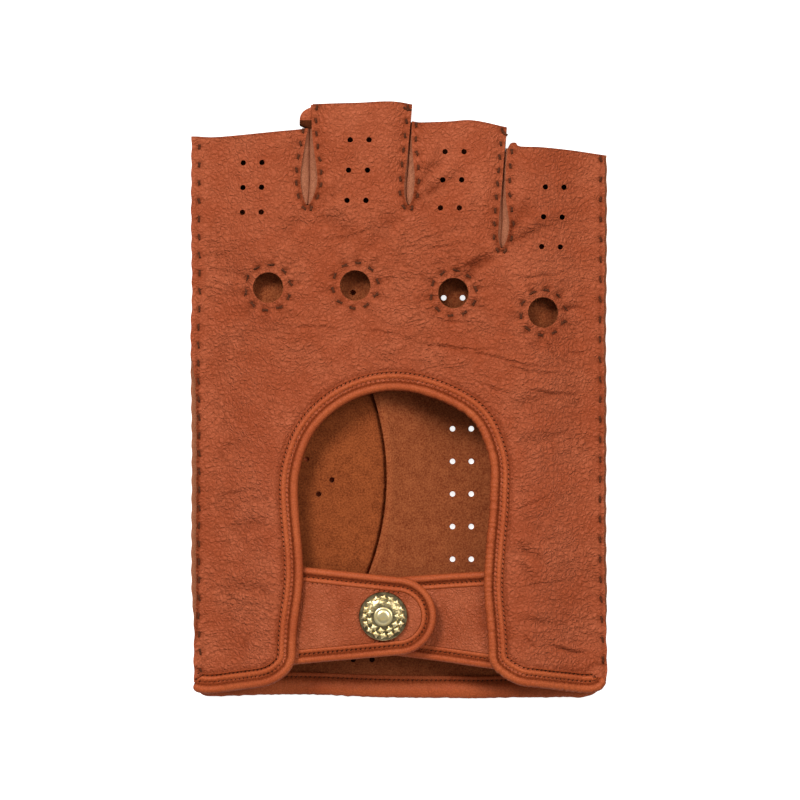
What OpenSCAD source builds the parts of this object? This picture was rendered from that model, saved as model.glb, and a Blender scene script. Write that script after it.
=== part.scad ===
// Fingerless leather driving glove for the right hand, lying on its palm.
// X runs across the hand from the thumb side, Y runs from the cuff to the fingers, Z is up.
// The origin is on the table, under the middle of the glove.

/* [Hand] */
// Width across the hand, seam edge to seam edge
glove_w = 105.2; // [95:0.2:120]
// Distance from the origin to the cuff edge of the palm
cuff_reach = 75.7; // [70:0.1:85]
// Thickness of the leather
leather_t = 0.9; // [0.7:0.05:1.1]
// Height of the side seams above the table
seam_z = 6.5; // [6:0.1:8]
// Width of the flat seam allowance along each side
seam_w = 2.5; // [2:0.1:4]
// How far the back of the hand rises above the side seams
crown_h = 7.6; // [6:0.1:9]
// Distance over which the leather rises from the seam
shoulder = 20; // [16:1:26]
// Gap left between two layers of leather that are sewn together
layer_gap = 0.2; // [0.1:0.05:0.3]
// Gap left at the lines where fingers, thumb, strap and tab bend away from the hand
joint_gap = 0.3; // [0.2:0.05:0.5]
// Width of the folded hem along the palm's cuff
hem_w = 4.2; // [3:0.1:6]
// Thickness of that hem
hem_t = 2.2; // [1.8:0.1:2.6]

/* [Fingers] */
// Middle of each slit between two fingers
slit_x = [-23.1, 2, 26.15]; // [-40:0.05:40]
// Width of each slit
slit_w = [3.6, 2, 2.5]; // [1.5:0.1:5]
// Where each finger stall starts: index, middle, ring, little
finger_base = [49.1, 49.1, 47.3, 37.4]; // [30:0.1:52]
// Where the cut end of each finger is at its middle
finger_tip = [67.8, 75.2, 69.8, 63.2]; // [56:0.1:80]
// How much further each cut end reaches on its little-finger side
tip_slope = [1.4, 1, -1.1, -1.7]; // [-3:0.1:3]
// How far the leather dips towards a slit
slit_dip = 1.4; // [0:0.1:2]
// Diameter of the vent holes in the fingers and the palm
vent_d = 1.4; // [1:0.1:2]
// Distance between the two columns of vent holes
vent_pitch_x = 4.8; // [4:0.1:6]
// Distance between the rows of vent holes in each finger
vent_pitch_y = [6.3, 7.7, 7.15, 7.6]; // [5:0.05:8]
// Middle column of the finger vents
vent_x = [-37.9, -11.3, 12.4, 38.1]; // [-45:0.1:45]
// How far each row of finger vents steps across from the row below
vent_lean = [0.1, 0.4, 0.6, 0.5]; // [0:0.1:1]
// Row of finger vents nearest to the cuff
vent_y = [47.6, 50.5, 48.6, 38.8]; // [30:0.1:55]

/* [Palm vents] */
// Distance between the rows of vent holes in the palm
palm_vent_pitch = 8.35; // [6:0.05:9]
// How far each row of palm vents steps across for each millimetre along the hand
palm_vent_lean = -0.03; // [-0.05:0.01:0]
// Lowest pair of the palm vents under the ring finger
palm_vent_ring = [15.9, -57.6]; // [-65:0.1:25]
// Pairs of palm vents under the ring finger
palm_vent_ring_rows = 11; // [1:1:12]
// Lowest pair of the palm vents under the middle finger
palm_vent_middle = [-9.8, 18.9]; // [-20:0.1:25]
// Pairs of palm vents under the middle finger
palm_vent_middle_rows = 3; // [1:1:3]
// Pair of palm vents at the cuff
palm_vent_cuff = [-9.8, -67]; // [-68:0.1:0]

/* [Knuckle holes] */
// Centre of each knuckle hole across the hand
knuckle_x = [-33.7, -11.6, 13.3, 36.1]; // [-45:0.1:45]
// Centre of each knuckle hole along the hand
knuckle_y = [28.4, 28.9, 27, 22.1]; // [10:0.1:35]
// Diameter of the knuckle holes
knuckle_d = 7.8; // [6:0.1:10]
// Width of the leather ring that faces each knuckle hole
knuckle_ring_w = 3.6; // [2.5:0.1:5]
// Stitches sewn round each knuckle hole
knuckle_stitches = 10; // [8:1:14]
// Distance from the edge of a knuckle hole to its stitches
knuckle_stitch_in = 2.2; // [1.5:0.1:2.5]

/* [Thread] */
// Diameter of the thread
stitch_d = 0.5; // [0.3:0.05:0.7]
// Length of a stitch
stitch_len = 1.8; // [1.2:0.1:2.4]
// Distance between the stitches of the side seams
side_stitch_pitch = 4.7; // [3.5:0.1:6]
// Distance from the edge of a side seam to its stitches
side_stitch_in = 1.5; // [1:0.1:2]

/* [Keyhole] */
// Middle of the keyhole's arch across the hand
arch_x = -1.6; // [-5:0.1:5]
// Middle of the keyhole's arch along the hand
arch_y = -22.8; // [-26:0.1:-18]
// Radius of the arch, to the middle of the rolled edge
arch_r = 26.2; // [22:0.1:30]
// How far the keyhole draws in at its waist
waist_in = 1.3; // [0:0.1:3]
// Radius of the two corners at the cuff
corner_r = 8.7; // [6:0.1:11]
// Height of the back's cuff edge above the palm's
cuff_step = 1.8; // [1.5:0.1:4]
// Diameter of the rolled edge
bead_d = 2.5; // [2:0.1:3]

/* [Strap and tab] */
// Distance from the palm's cuff edge to the middle of the strap
strap_from_cuff = 20.7; // [17.5:0.1:26]
// Width of the strap at its root
strap_w = 23.6; // [18:0.1:26]
// Width of the strap at its round end
strap_end_w = 20; // [16:0.1:24]
// Where the strap's round end reaches
strap_tip_x = 9; // [5:0.1:12]
// Where the tab's end reaches under the strap
tab_tip_x = -11.5; // [-14:0.1:-9]
// Rise of the strap from its root to the snap
strap_rise = 1.5; // [0.5:0.1:2]
// Length of the sewn tails of strap and tab under the back
tail_len = 11; // [6:0.5:13]

/* [Snap fastener] */
// Middle of the snap across the hand
snap_x = -4.5; // [-7:0.1:-2]
// Diameter of the domed cap
cap_d = 12.5; // [10:0.1:14]
// Height of the cap
cap_h = 2.5; // [1.8:0.1:3.5]
// Diameter of the socket
socket_d = 10.4; // [9:0.1:11]
// Height of the socket
socket_h = 1.9; // [1.7:0.1:2.4]
// Diameter of the stud's head
stud_d = 4.8; // [4:0.1:5.4]
// Diameter of the rivet post that holds cap and socket
post_d = 3; // [2.4:0.1:3.4]
// Thickness of the snap's sheet metal
metal_t = 0.5; // [0.4:0.05:0.6]
// Clearance round moving and riveted metal
metal_gap = 0.1; // [0.05:0.01:0.15]
// Height of the cap's straight rim
cap_rim_h = 0.8; // [0.4:0.1:1.2]
// Diameter of the wire of the socket's spring
spring_wire = 0.6; // [0.4:0.05:0.7]
// How far the stud's flange stays inside the socket's edge
flange_in = 0.2; // [0:0.1:1]
// How far the stud's rivet head stays inside the socket's edge
rivet_head_in = 0.5; // [0:0.1:1.5]

/* [Thumb] */
// Fold line of the thumb, across the hand
thumb_fold_x = -46; // [-47:0.1:-43]
// Where the thumb's root starts and ends along its fold line
thumb_root_y = [-31, 5]; // [-40:1:12]
// Middle of the thumb's cut end
thumb_tip = [-13, 27]; // [-25:1:35]
// Width of the thumb's cut end
thumb_tip_w = 27; // [22:0.5:32]
// Height of the room inside the folded thumb
thumb_room = 5; // [4.6:0.1:5.5]
// Distance over which the palm drapes from the thumb down to the table
drape = 25; // [15:1:30]
// Radius of the seam where the thumb leather meets the palm
quirk_r = 66; // [50:1:90]
// Furthest reach of that seam across the palm
quirk_x = -3.6; // [-8:0.1:0]
// Where the palm's opening for the thumb starts and ends along the hand
thumb_hole_y = [-43, 3]; // [-46:1:6]
// Distance from the fold line to that opening
fold_margin = 4; // [3:0.5:8]
// Distance from the fold line to the thumb's own leather
fold_setback = 1.5; // [1:0.1:3]
// Lap of the gusset under the palm
gusset_lap = 3; // [2:0.1:4]
// Distance from the opening's edge by the fold to the gusset
gusset_in = 10; // [8:0.5:14]
// Vent holes in the gusset
gusset_vents = [[-17.6, -20.5], [-21, -24.1], [-24, -15.2]]; // [-30:0.1:0]

/* [Hidden] */
$fn = 40;

tan_leather = [0.69, 0.33, 0.2];
edge_leather = [0.66, 0.3, 0.16];
suede = [0.5, 0.27, 0.15];
thread = [0.36, 0.16, 0.09];
brass = [0.72, 0.6, 0.34];

half_w = glove_w / 2;
// A height above everything, for cutting through
over = 60;
// Step of the leather sheets' facets
facet = 5;
// Room left between a strip and the facets of the leather above and below it
facet_room = 0.28;
// Overhang of a leather sheet past the outline that trims it
margin = 1;
// Share of its crown that the back loses towards the finger tips, and over what distance
tip_drop = 0.2;
tip_drop_len = 40;
// Distances across and along a finger over which the leather dips to a slit
slit_fade = 6;
slit_start = 9;
// How far the palm stays lifted past the thumb's tip, and below its root
lift_past_tip = [5, 3];
lift_below_root = 9;
// How squarely the thumb's leather turns at its two edges
stall_square = 6;
// Sides of a rolled edge and of the hem
bead_sides = 8;
hem_sides = 10;
// Middle of the back's rolled cuff edge
cuff_y = -cuff_reach + cuff_step;
// Middle of the strap along the hand
strap_y = -cuff_reach + strap_from_cuff;
// Middle of the two corner arcs, then of the hem
corner_y = cuff_y + corner_r;
hem_y = -cuff_reach + hem_w / 2;
// Height of the back leather's underside where the hand lies flat
roof_z = seam_z + layer_gap / 2 + crown_h;

// Strap layers, as heights of the strap's underside at its root and at the snap
ply_t = 2 * leather_t + layer_gap;
bead_z = roof_z + leather_t / 2;
strap_root_z = bead_z - bead_d / 2 - layer_gap - ply_t;
strap_snap_z = strap_root_z + strap_rise;
tab_snap_z = strap_snap_z - socket_h - metal_t - 2 * metal_gap - ply_t;
strap_root_x = arch_x - waist_x(strap_y) + bead_d / 2 + joint_gap;
tab_root_x = arch_x + waist_x(strap_y) - bead_d / 2 - joint_gap;

// Thumb layers
thumb_top = 2 * leather_t + thumb_room;
gusset_z = thumb_top + joint_gap;
palm_over_thumb = gusset_z + leather_t + layer_gap;

function ease(t) = let(c = max(0, min(1, t))) c * c * (3 - 2 * c);
function mix(a, b, t) = a + (b - a) * t;
function seam_rise(x) = ease((half_w - seam_w - abs(x)) / shoulder);

// Edges of finger i: its side seam or the slit beside it
function finger_left(i) = i == 0 ? -half_w : slit_x[i - 1] + slit_w[i - 1] / 2;
function finger_right(i) = i == 3 ? half_w : slit_x[i] - slit_w[i] / 2;
function finger_mid(i) = (finger_left(i) + finger_right(i)) / 2;
function tip_at(i, x) =
    finger_tip[i] + tip_slope[i] * (x - finger_mid(i)) / (finger_right(i) - finger_left(i));
function finger_of(x) = x < slit_x[0] ? 0 : x < slit_x[1] ? 1 : x < slit_x[2] ? 2 : 3;
function slit_side(x) =
    let(i = finger_of(x))
    min(i == 0 ? over : x - finger_left(i), i == 3 ? over : finger_right(i) - x);
// 0 on the hand, growing to 1 beside a slit
function slit_edge(x, y) =
    (1 - ease(slit_side(x) / slit_fade)) * ease((y - finger_base[finger_of(x)]) / slit_start);

// Underside of the back leather
function back_z(x, y) =
    seam_z + layer_gap / 2
    + seam_rise(x) * crown_h * (1 - tip_drop * ease((y - min(finger_base)) / tip_drop_len))
    - slit_dip * slit_edge(x, y);
// 1 where the folded thumb lifts the palm, 0 where the palm lies on the table
function over_thumb(x, y) =
    (1 - ease((x - thumb_tip.x - lift_past_tip.x) / drape))
    * ease((y - thumb_root_y[0] + lift_below_root + drape) / drape)
    * (1 - ease((y - thumb_tip.y - lift_past_tip.y) / drape));
// Underside of the palm leather
function palm_z(x, y) =
    let(edge = seam_z - layer_gap / 2 - leather_t)
    mix(edge, palm_over_thumb * over_thumb(x, y), seam_rise(x))
    + slit_dip * slit_edge(x, y);

// One layer of leather whose underside follows a height function
module sheet(low, high, height_at, thick = leather_t) {
    nx = max(3, ceil((high.x - low.x) / facet));
    ny = max(3, ceil((high.y - low.y) / facet));
    row = nx + 1;
    count = row * (ny + 1);
    flat_points = [for (j = [0:ny], i = [0:nx]) [mix(low.x, high.x, i / nx), mix(low.y, high.y, j / ny)]];
    under = [for (p = flat_points) [p.x, p.y, height_at(p.x, p.y)]];
    upper = [for (p = under) p + [0, 0, thick]];
    cells = [for (j = [0:ny - 1], i = [0:nx - 1]) j * row + i];
    rim = concat([for (i = [0:nx]) i], [for (j = [1:ny]) j * row + nx],
        [for (i = [1:nx]) ny * row + nx - i], [for (j = [1:ny - 1]) (ny - j) * row]);
    walls = [for (k = [0:len(rim) - 1]) let(a = rim[k], b = rim[(k + 1) % len(rim)])
        each [[a, a + count, b + count], [a, b + count, b]]];
    faces = concat(
        [for (c = cells) each [[c, c + 1, c + row + 1], [c, c + row + 1, c + row]]],
        [for (c = cells) each [[c + count, c + count + row + 1, c + count + 1],
            [c + count, c + count + row, c + count + row + 1]]],
        walls);
    polyhedron(concat(under, upper), faces, convexity = 8);
}

// A tube of a given section along a path, closed at both ends
module tube(path, section) {
    n = len(section);
    rings = len(path);
    points = [for (k = [0:rings - 1])
        let(ahead = path[min(k + 1, rings - 1)] - path[max(k - 1, 0)],
            along = ahead / norm(ahead), side = cross([0, 0, 1], along), out = side / norm(side))
        for (s = section) path[k] + out * s.x + [0, 0, s.y]];
    walls = [for (k = [0:rings - 2], s = [0:n - 1])
        let(a = k * n + s, b = k * n + (s + 1) % n)
        each [[a, b, b + n], [a, b + n, a + n]]];
    first_cap = [for (s = [1:n - 2]) [0, s + 1, s]];
    last_cap = [for (s = [1:n - 2]) let(f = (rings - 1) * n) [f, f + s, f + s + 1]];
    polyhedron(points, concat(walls, first_cap, last_cap), convexity = 8);
}
function round_section(w, h, n) =
    [for (s = [0:n - 1]) let(a = -360 * s / n) [w / 2 * cos(a), h / 2 * sin(a)]];

// Half width of the keyhole below its arch, to the middle of the rolled edge
function waist_x(y) = arch_r - waist_in * pow(sin(180 * (arch_y - y) / (arch_y - corner_y)), 2);
// Outline of the keyhole from one side seam to the other, moved d into the leather
function half_keyhole(d) = concat(
    [for (a = [90:10:180]) (arch_r + d) * [cos(a), sin(a)] + [0, arch_y]],
    [for (s = [1:8]) let(y = mix(arch_y, corner_y, s / 9)) [-waist_x(y) - d, y]],
    [for (a = [0:-15:-90]) (corner_r - d) * [cos(a), sin(a)] + [-arch_r - corner_r, corner_y]]);
function keyhole(d, reach) =
    let(half = half_keyhole(d), n = len(half),
        left = [for (k = [n - 1:-1:0]) [arch_x + half[k].x, half[k].y]],
        right = [for (k = [1:n - 1]) [arch_x - half[k].x, half[k].y]])
    concat([[-reach, cuff_y + d]], left, right, [[reach, cuff_y + d]]);

// The hand's outline without the fingers
module hand_outline(bottom) {
    polygon([[-half_w, bottom], [half_w, bottom],
        for (i = [3:-1:0]) each [
            [i == 3 ? half_w : slit_x[i], finger_base[i] - joint_gap / 2],
            [i == 0 ? -half_w : slit_x[i - 1], finger_base[i] - joint_gap / 2]]]);
}
module finger_outline(i) {
    left = finger_left(i);
    right = finger_right(i);
    polygon([[left, finger_base[i] + joint_gap / 2], [right, finger_base[i] + joint_gap / 2],
        [right, tip_at(i, right)], [left, tip_at(i, left)]]);
}
module vent_pair() {
    for (side = [-1, 1]) translate([side * vent_pitch_x / 2, 0]) circle(d = vent_d, $fn = 16);
}
module finger_vents(i) {
    for (row = [0:2]) translate([vent_x[i] + row * vent_lean[i], vent_y[i] + row * vent_pitch_y[i]])
        vent_pair();
}
module cut_through() {
    translate([0, 0, -1]) linear_extrude(over) children();
}

module back_panel() color(tan_leather) {
    top = max(finger_base) + margin;
    difference() {
        intersection() {
            sheet([-half_w - margin, -cuff_reach - margin], [half_w + margin, top],
                function(x, y) back_z(x, y));
            cut_through() hand_outline(-cuff_reach);
        }
        reach = half_w + margin;
        below = -cuff_reach - margin;
        cut_through() polygon(concat(keyhole(bead_d / 2, reach), [[reach, below], [-reach, below]]));
        for (i = [0:3]) {
            cut_through() translate([knuckle_x[i], knuckle_y[i]]) circle(d = knuckle_d);
            cut_through() finger_vents(i);
        }
    }
}

// Rows of palm vents, under the ring finger and on both sides of the thumb under the middle finger
module palm_vent_rows(lowest, rows) {
    step = palm_vent_pitch * [palm_vent_lean, 1];
    for (row = [0:rows - 1]) translate(lowest + row * step) vent_pair();
}
module palm_vents() {
    palm_vent_rows(palm_vent_ring, palm_vent_ring_rows);
    palm_vent_rows(palm_vent_middle, palm_vent_middle_rows);
    palm_vent_rows(palm_vent_cuff, 1);
}
thumb_hole_left = thumb_fold_x + fold_margin;
// Opening of the palm above the gusset, grown on all sides
module thumb_hole(grow) {
    middle_y = (thumb_hole_y[0] + thumb_hole_y[1]) / 2;
    intersection() {
        translate([quirk_x - quirk_r, middle_y]) circle(quirk_r + grow, $fn = 180);
        translate([thumb_hole_left, thumb_hole_y[0] - grow])
            square([-thumb_hole_left + quirk_x + 2 * grow, thumb_hole_y[1] - thumb_hole_y[0] + 2 * grow]);
    }
}
module palm_panel() color(tan_leather) {
    bottom = hem_y + hem_w / 2 + layer_gap / 2;
    difference() {
        intersection() {
            sheet([-half_w - margin, bottom - margin], [half_w + margin, max(finger_base) + margin],
                function(x, y) palm_z(x, y));
            cut_through() hand_outline(bottom);
        }
        cut_through() thumb_hole(0);
        cut_through() palm_vents();
    }
}

// Rolled leather edge round the keyhole and along the back's cuff
module back_binding() color(edge_leather) {
    top_of_hem = seam_z + layer_gap / 2;
    tube([for (p = keyhole(0, half_w - seam_w / 2))
        [p.x, p.y, max(back_z(p.x, p.y) + leather_t / 2, top_of_hem + bead_d / 2)]],
        round_section(bead_d - layer_gap, bead_d - layer_gap, bead_sides));
}
// Folded hem along the palm's cuff
module palm_hem() color(edge_leather) {
    steps = 24;
    reach = half_w - seam_w / 2;
    under_seam = seam_z - layer_gap / 2 - hem_t / 2;
    tube([for (k = [0:steps]) let(x = mix(-reach, reach, k / steps))
        [x, hem_y, max(hem_t / 2, min(palm_z(x, hem_y) + leather_t / 2, under_seam))]],
        round_section(hem_w, hem_t, hem_sides));
}

// Leather rings that face the knuckle holes from inside
module knuckle_rings() color(suede) {
    ring_r = knuckle_d / 2 + knuckle_ring_w;
    for (i = [0:3]) {
        at = [knuckle_x[i], knuckle_y[i]];
        difference() {
            intersection() {
                sheet(at - (ring_r + margin) * [1, 1], at + (ring_r + margin) * [1, 1],
                    function(x, y) back_z(x, y) - layer_gap * 2 - leather_t);
                translate([at.x, at.y, 0]) cylinder(r = ring_r, h = over);
            }
            translate([at.x, at.y, 0]) cylinder(d = knuckle_d, h = over);
        }
    }
}
// One straight stitch lying on the leather
module stitch(from, to) {
    along = to - from;
    translate(from) rotate([0, 90 - asin(along.z / norm(along)), atan2(along.y, along.x)])
        cylinder(d = stitch_d, h = norm(along), $fn = 8);
}
function on_back(p) = [p.x, p.y, back_z(p.x, p.y) + leather_t + stitch_d / 2 + layer_gap];
module knuckle_thread() color(thread) {
    stitch_r = knuckle_d / 2 + knuckle_stitch_in;
    half_turn = asin(stitch_len / 2 / stitch_r);
    for (i = [0:3], k = [0:knuckle_stitches - 1]) {
        a = 360 * k / knuckle_stitches;
        at = [knuckle_x[i], knuckle_y[i]];
        stitch(on_back(at + stitch_r * [cos(a - half_turn), sin(a - half_turn)]),
            on_back(at + stitch_r * [cos(a + half_turn), sin(a + half_turn)]));
    }
}
module side_seam_thread() color(thread) {
    x = half_w - side_stitch_in;
    low = cuff_y + bead_d;
    for (side = [-1, 1]) {
        high = finger_base[side < 0 ? 0 : 3] - stitch_len;
        for (k = [0:floor((high - low) / side_stitch_pitch)]) {
            y = low + k * side_stitch_pitch;
            stitch(on_back([side * x, y]), on_back([side * x, y + stitch_len]));
        }
    }
}

// Finger stalls: back and palm leather, and fourchettes between the fingers
module finger_sheet(i, height_at) {
    far_y = finger_tip[i] + abs(tip_slope[i]) / 2;
    intersection() {
        sheet([finger_left(i), finger_base[i]] - margin * [1, 1],
            [finger_right(i), far_y] + margin * [1, 1], height_at);
        cut_through() finger_outline(i);
    }
}
module finger_back(i) color(tan_leather) difference() {
    finger_sheet(i, function(x, y) back_z(x, y));
    cut_through() finger_vents(i);
}
module finger_palm(i) color(tan_leather) finger_sheet(i, function(x, y) palm_z(x, y));
// Strip of leather that closes the side of finger i; side is -1 towards the thumb and 1 away from it
module fourchette(i, side) color(suede) {
    x = side < 0 ? finger_left(i) + leather_t + layer_gap : finger_right(i) - layer_gap;
    low_y = finger_base[i] + joint_gap;
    high_y = tip_at(i, x) - joint_gap;
    steps = 6;
    ys = [for (k = [0:steps]) mix(low_y, high_y, k / steps)];
    floor_z = function(y) max(palm_z(x, y), palm_z(x - leather_t, y)) + leather_t + facet_room;
    roof = function(y) min(back_z(x, y), back_z(x - leather_t, y)) - facet_room;
    translate([x, 0, 0]) rotate([90, 0, -90]) linear_extrude(leather_t)
        polygon(concat([for (y = ys) [-y, floor_z(y)]], [for (k = [steps:-1:0]) [-ys[k], roof(ys[k])]]));
}

// Strap and tab: heights of their undersides across the hand
strap_slope_len = snap_x - socket_d / 2 - strap_root_x;
tab_slope_len = tab_root_x - strap_tip_x - margin;
function strap_z(x) = mix(strap_root_z, strap_snap_z, ease((x - strap_root_x) / strap_slope_len));
function tab_z(x) = mix(strap_root_z, tab_snap_z, ease((tab_root_x - x) / tab_slope_len));
// A band across the hand that follows a height, as thick as given
module band(from, to, height_at, lift, thick) {
    steps = 12;
    xs = [for (k = [0:steps]) mix(from, to, k / steps)];
    translate([0, over, 0]) rotate([90, 0, 0]) linear_extrude(2 * over + cuff_reach)
        polygon(concat([for (x = xs) [x, height_at(x) + lift]],
            [for (k = [steps:-1:0]) [xs[k], height_at(xs[k]) + lift + thick]]));
}
// Half width of the strap or tab along its length, from root to round end
function strap_half(x, root, tip, d) =
    let(end_r = strap_end_w / 2, dir = tip > root ? 1 : -1, start = tip - dir * end_r,
        t = (x - root) / (start - root))
    mix(strap_w / 2, end_r, max(0, min(1, t))) - d;
// Outline of the strap or tab, drawn in by d, from one root corner round the end to the other
function strap_path(root, tip, d) =
    let(dir = tip > root ? 1 : -1, end_r = strap_end_w / 2, start = tip - dir * end_r, sides = 5,
        side = [for (k = [0:sides - 1]) let(x = mix(root, start, k / sides))
            [x, strap_half(x, root, tip, d)]],
        bow = [for (a = [90:-15:-90]) [start + dir * (end_r - d) * cos(a), (end_r - d) * sin(a)]])
    [for (p = concat(side, bow, [for (k = [sides - 1:-1:0]) [side[k].x, -side[k].y]])) p + [0, strap_y]];
module strap_outline(root, tip, d) { polygon(strap_path(root, tip, d)); }
rivet_hole_d = post_d + 2 * metal_gap;
module strap_ply(root, tip, height_at, lift) {
    difference() {
        intersection() {
            band(min(root, tip) - margin, max(root, tip) + margin, height_at, lift, leather_t);
            cut_through() strap_outline(root, tip, bead_d);
        }
        translate([snap_x, strap_y, 0]) cylinder(d = rivet_hole_d, h = over);
    }
}
module strap_edge(root, tip, height_at) {
    tube([for (p = strap_path(root, tip, bead_d / 2)) [p.x, p.y, height_at(p.x) + ply_t / 2]],
        round_section(bead_d - layer_gap, bead_d - layer_gap, bead_sides));
}
module strap_leather() color(tan_leather)
    strap_ply(strap_root_x, strap_tip_x, function(x) strap_z(x), leather_t + layer_gap);
module strap_lining() color(suede)
    strap_ply(strap_root_x, strap_tip_x, function(x) strap_z(x), 0);
module strap_binding() color(edge_leather)
    strap_edge(strap_root_x, strap_tip_x, function(x) strap_z(x));
module tab_leather() color(tan_leather)
    strap_ply(tab_root_x, tab_tip_x, function(x) tab_z(x), leather_t + layer_gap);
module tab_lining() color(suede)
    strap_ply(tab_root_x, tab_tip_x, function(x) tab_z(x), 0);
module tab_binding() color(edge_leather)
    strap_edge(tab_root_x, tab_tip_x, function(x) tab_z(x));
// Sewn ends of strap and tab, hidden under the back
module tail(root, side) {
    from = side < 0 ? root - joint_gap - tail_len : root + joint_gap;
    intersection() {
        sheet([from, strap_y - strap_w / 2] - margin * [1, 1],
            [from + tail_len, strap_y + strap_w / 2] + margin * [1, 1],
            function(x, y) min(strap_root_z, back_z(x, y) - layer_gap * 2 - ply_t), ply_t);
        cut_through() translate([from, strap_y - strap_w / 2]) square([tail_len, strap_w]);
    }
}
module strap_tail() color(suede) tail(strap_root_x, -1);
module tab_tail() color(suede) tail(tab_root_x, 1);

// Snap fastener: cap and socket are riveted through the strap, the stud through the tab
module at_snap(z) { translate([snap_x, strap_y, z]) children(); }
cap_seat = strap_snap_z + ply_t + metal_gap / 2;
socket_top = strap_snap_z - metal_gap / 2;
stud_seat = tab_snap_z + ply_t + metal_gap / 2;
stud_h = socket_h - metal_t - 2 * metal_gap;
module snap_cap() color(brass) at_snap(cap_seat) {
    rise = cap_h - cap_rim_h;
    dome_r = (pow(cap_d / 2, 2) + rise * rise) / (2 * rise);
    cylinder(d = cap_d, h = cap_rim_h);
    intersection() {
        translate([0, 0, cap_rim_h]) cylinder(d = cap_d, h = cap_h);
        translate([0, 0, cap_h - dome_r]) sphere(dome_r);
    }
    post_h = cap_seat - socket_top + metal_t;
    translate([0, 0, -post_h]) cylinder(d = post_d, h = post_h + cap_rim_h / 2);
}
spring_r = stud_d / 2 + metal_gap + spring_wire / 2;
module snap_socket() color(brass) at_snap(socket_top - socket_h) difference() {
    cylinder(d = socket_d, h = socket_h);
    translate([0, 0, -1]) cylinder(r = spring_r + spring_wire / 2 + metal_gap, h = socket_h - metal_t + 1);
    cylinder(d = rivet_hole_d, h = over);
}
// Split ring inside the socket that grips the stud
module snap_spring() color("silver") {
    split = 60;
    at_snap(socket_top - metal_t - spring_wire / 2 - metal_gap) rotate([0, 0, split / 2])
        rotate_extrude(angle = 360 - split) translate([spring_r, 0]) circle(d = spring_wire, $fn = 16);
}
module snap_stud() color(brass) at_snap(stud_seat) difference() {
    union() {
        cylinder(d = socket_d - 2 * flange_in, h = metal_t);
        translate([0, 0, metal_t]) cylinder(d = stud_d, h = stud_h);
    }
    translate([0, 0, -1]) cylinder(d = rivet_hole_d, h = stud_h + 1);
}
module snap_stud_rivet() color(brass) at_snap(tab_snap_z - metal_gap / 2 - metal_t) {
    cylinder(d = socket_d - 2 * rivet_head_in, h = metal_t);
    cylinder(d = post_d, h = ply_t + metal_gap + metal_t + stud_h / 2);
}

// Thumb: a set-in gusset on the palm and a folded stall under it
module thumb_gusset() color(suede) {
    from = [thumb_hole_left + gusset_in, thumb_hole_y[0] - gusset_lap];
    to = [quirk_x + gusset_lap, thumb_hole_y[1] + gusset_lap];
    difference() {
        intersection() {
            sheet(from - margin * [1, 1], to + margin * [1, 1],
                function(x, y) palm_z(x, y) - facet_room - leather_t);
            cut_through() thumb_hole(gusset_lap);
            cut_through() translate([from.x, -over]) square([over, 2 * over]);
        }
        for (p = gusset_vents) cut_through() translate(p) circle(d = vent_d, $fn = 16);
    }
}
thumb_start = thumb_fold_x + fold_setback;
thumb_dir = thumb_tip - [thumb_fold_x, (thumb_root_y[0] + thumb_root_y[1]) / 2];
thumb_along = thumb_dir / norm(thumb_dir);
thumb_across = [thumb_along.y, -thumb_along.x];
module thumb_outline() {
    polygon([[thumb_start, thumb_root_y[0]], thumb_tip + thumb_across * thumb_tip_w / 2,
        thumb_tip - thumb_across * thumb_tip_w / 2, [thumb_start, thumb_root_y[1]]]);
}
// Distance across the thumb from its middle, as a share of its half width there
function thumb_share(x, y) =
    let(p = [x, y] - [thumb_fold_x, (thumb_root_y[0] + thumb_root_y[1]) / 2],
        t = max(0, min(1, p * thumb_along / norm(thumb_dir))),
        half = mix((thumb_root_y[1] - thumb_root_y[0]) / 2 * thumb_along.x, thumb_tip_w / 2, t))
    min(1, abs(p * thumb_across) / half);
function thumb_swell(x, y) = thumb_room / 2 * pow(thumb_share(x, y), stall_square);
// Highest underside that keeps the thumb's upper leather clear of the gusset
function under_gusset(x, y) = palm_z(x, y) - 2 * leather_t - 2 * joint_gap;
module thumb_sheet(height_at) {
    intersection() {
        sheet([thumb_start, thumb_root_y[0]] - margin * [1, 1], thumb_tip + thumb_tip_w / 2 * [1, 1],
            height_at);
        cut_through() thumb_outline();
    }
}
module thumb_upper() color(tan_leather)
    thumb_sheet(function(x, y)
        min(under_gusset(x, y), leather_t + thumb_room - thumb_swell(x, y) + layer_gap / 2));
module thumb_lower() color(tan_leather)
    thumb_sheet(function(x, y) max(0, thumb_swell(x, y) - layer_gap / 2));

back_panel();
palm_panel();
back_binding();
palm_hem();
knuckle_rings();
knuckle_thread();
side_seam_thread();
strap_tail();
tab_tail();
thumb_gusset();
finger_back(0);  // index_back
finger_palm(0);  // index_palm
fourchette(0, 1);  // index_fourchette
finger_back(1);  // middle_back
finger_palm(1);  // middle_palm
fourchette(1, -1);  // middle_fourchette_index_side
fourchette(1, 1);  // middle_fourchette_ring_side
finger_back(2);  // ring_back
finger_palm(2);  // ring_palm
fourchette(2, -1);  // ring_fourchette_middle_side
fourchette(2, 1);  // ring_fourchette_little_side
finger_back(3);  // little_back
finger_palm(3);  // little_palm
fourchette(3, -1);  // little_fourchette
strap_leather();
strap_lining();
strap_binding();
snap_cap();
snap_socket();
snap_spring();
tab_leather();
tab_lining();
tab_binding();
snap_stud();
snap_stud_rivet();
thumb_upper();
thumb_lower();
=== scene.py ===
import math

import bpy
import numpy as np
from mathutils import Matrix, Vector, kdtree, noise
from mathutils.geometry import delaunay_2d_cdt


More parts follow.
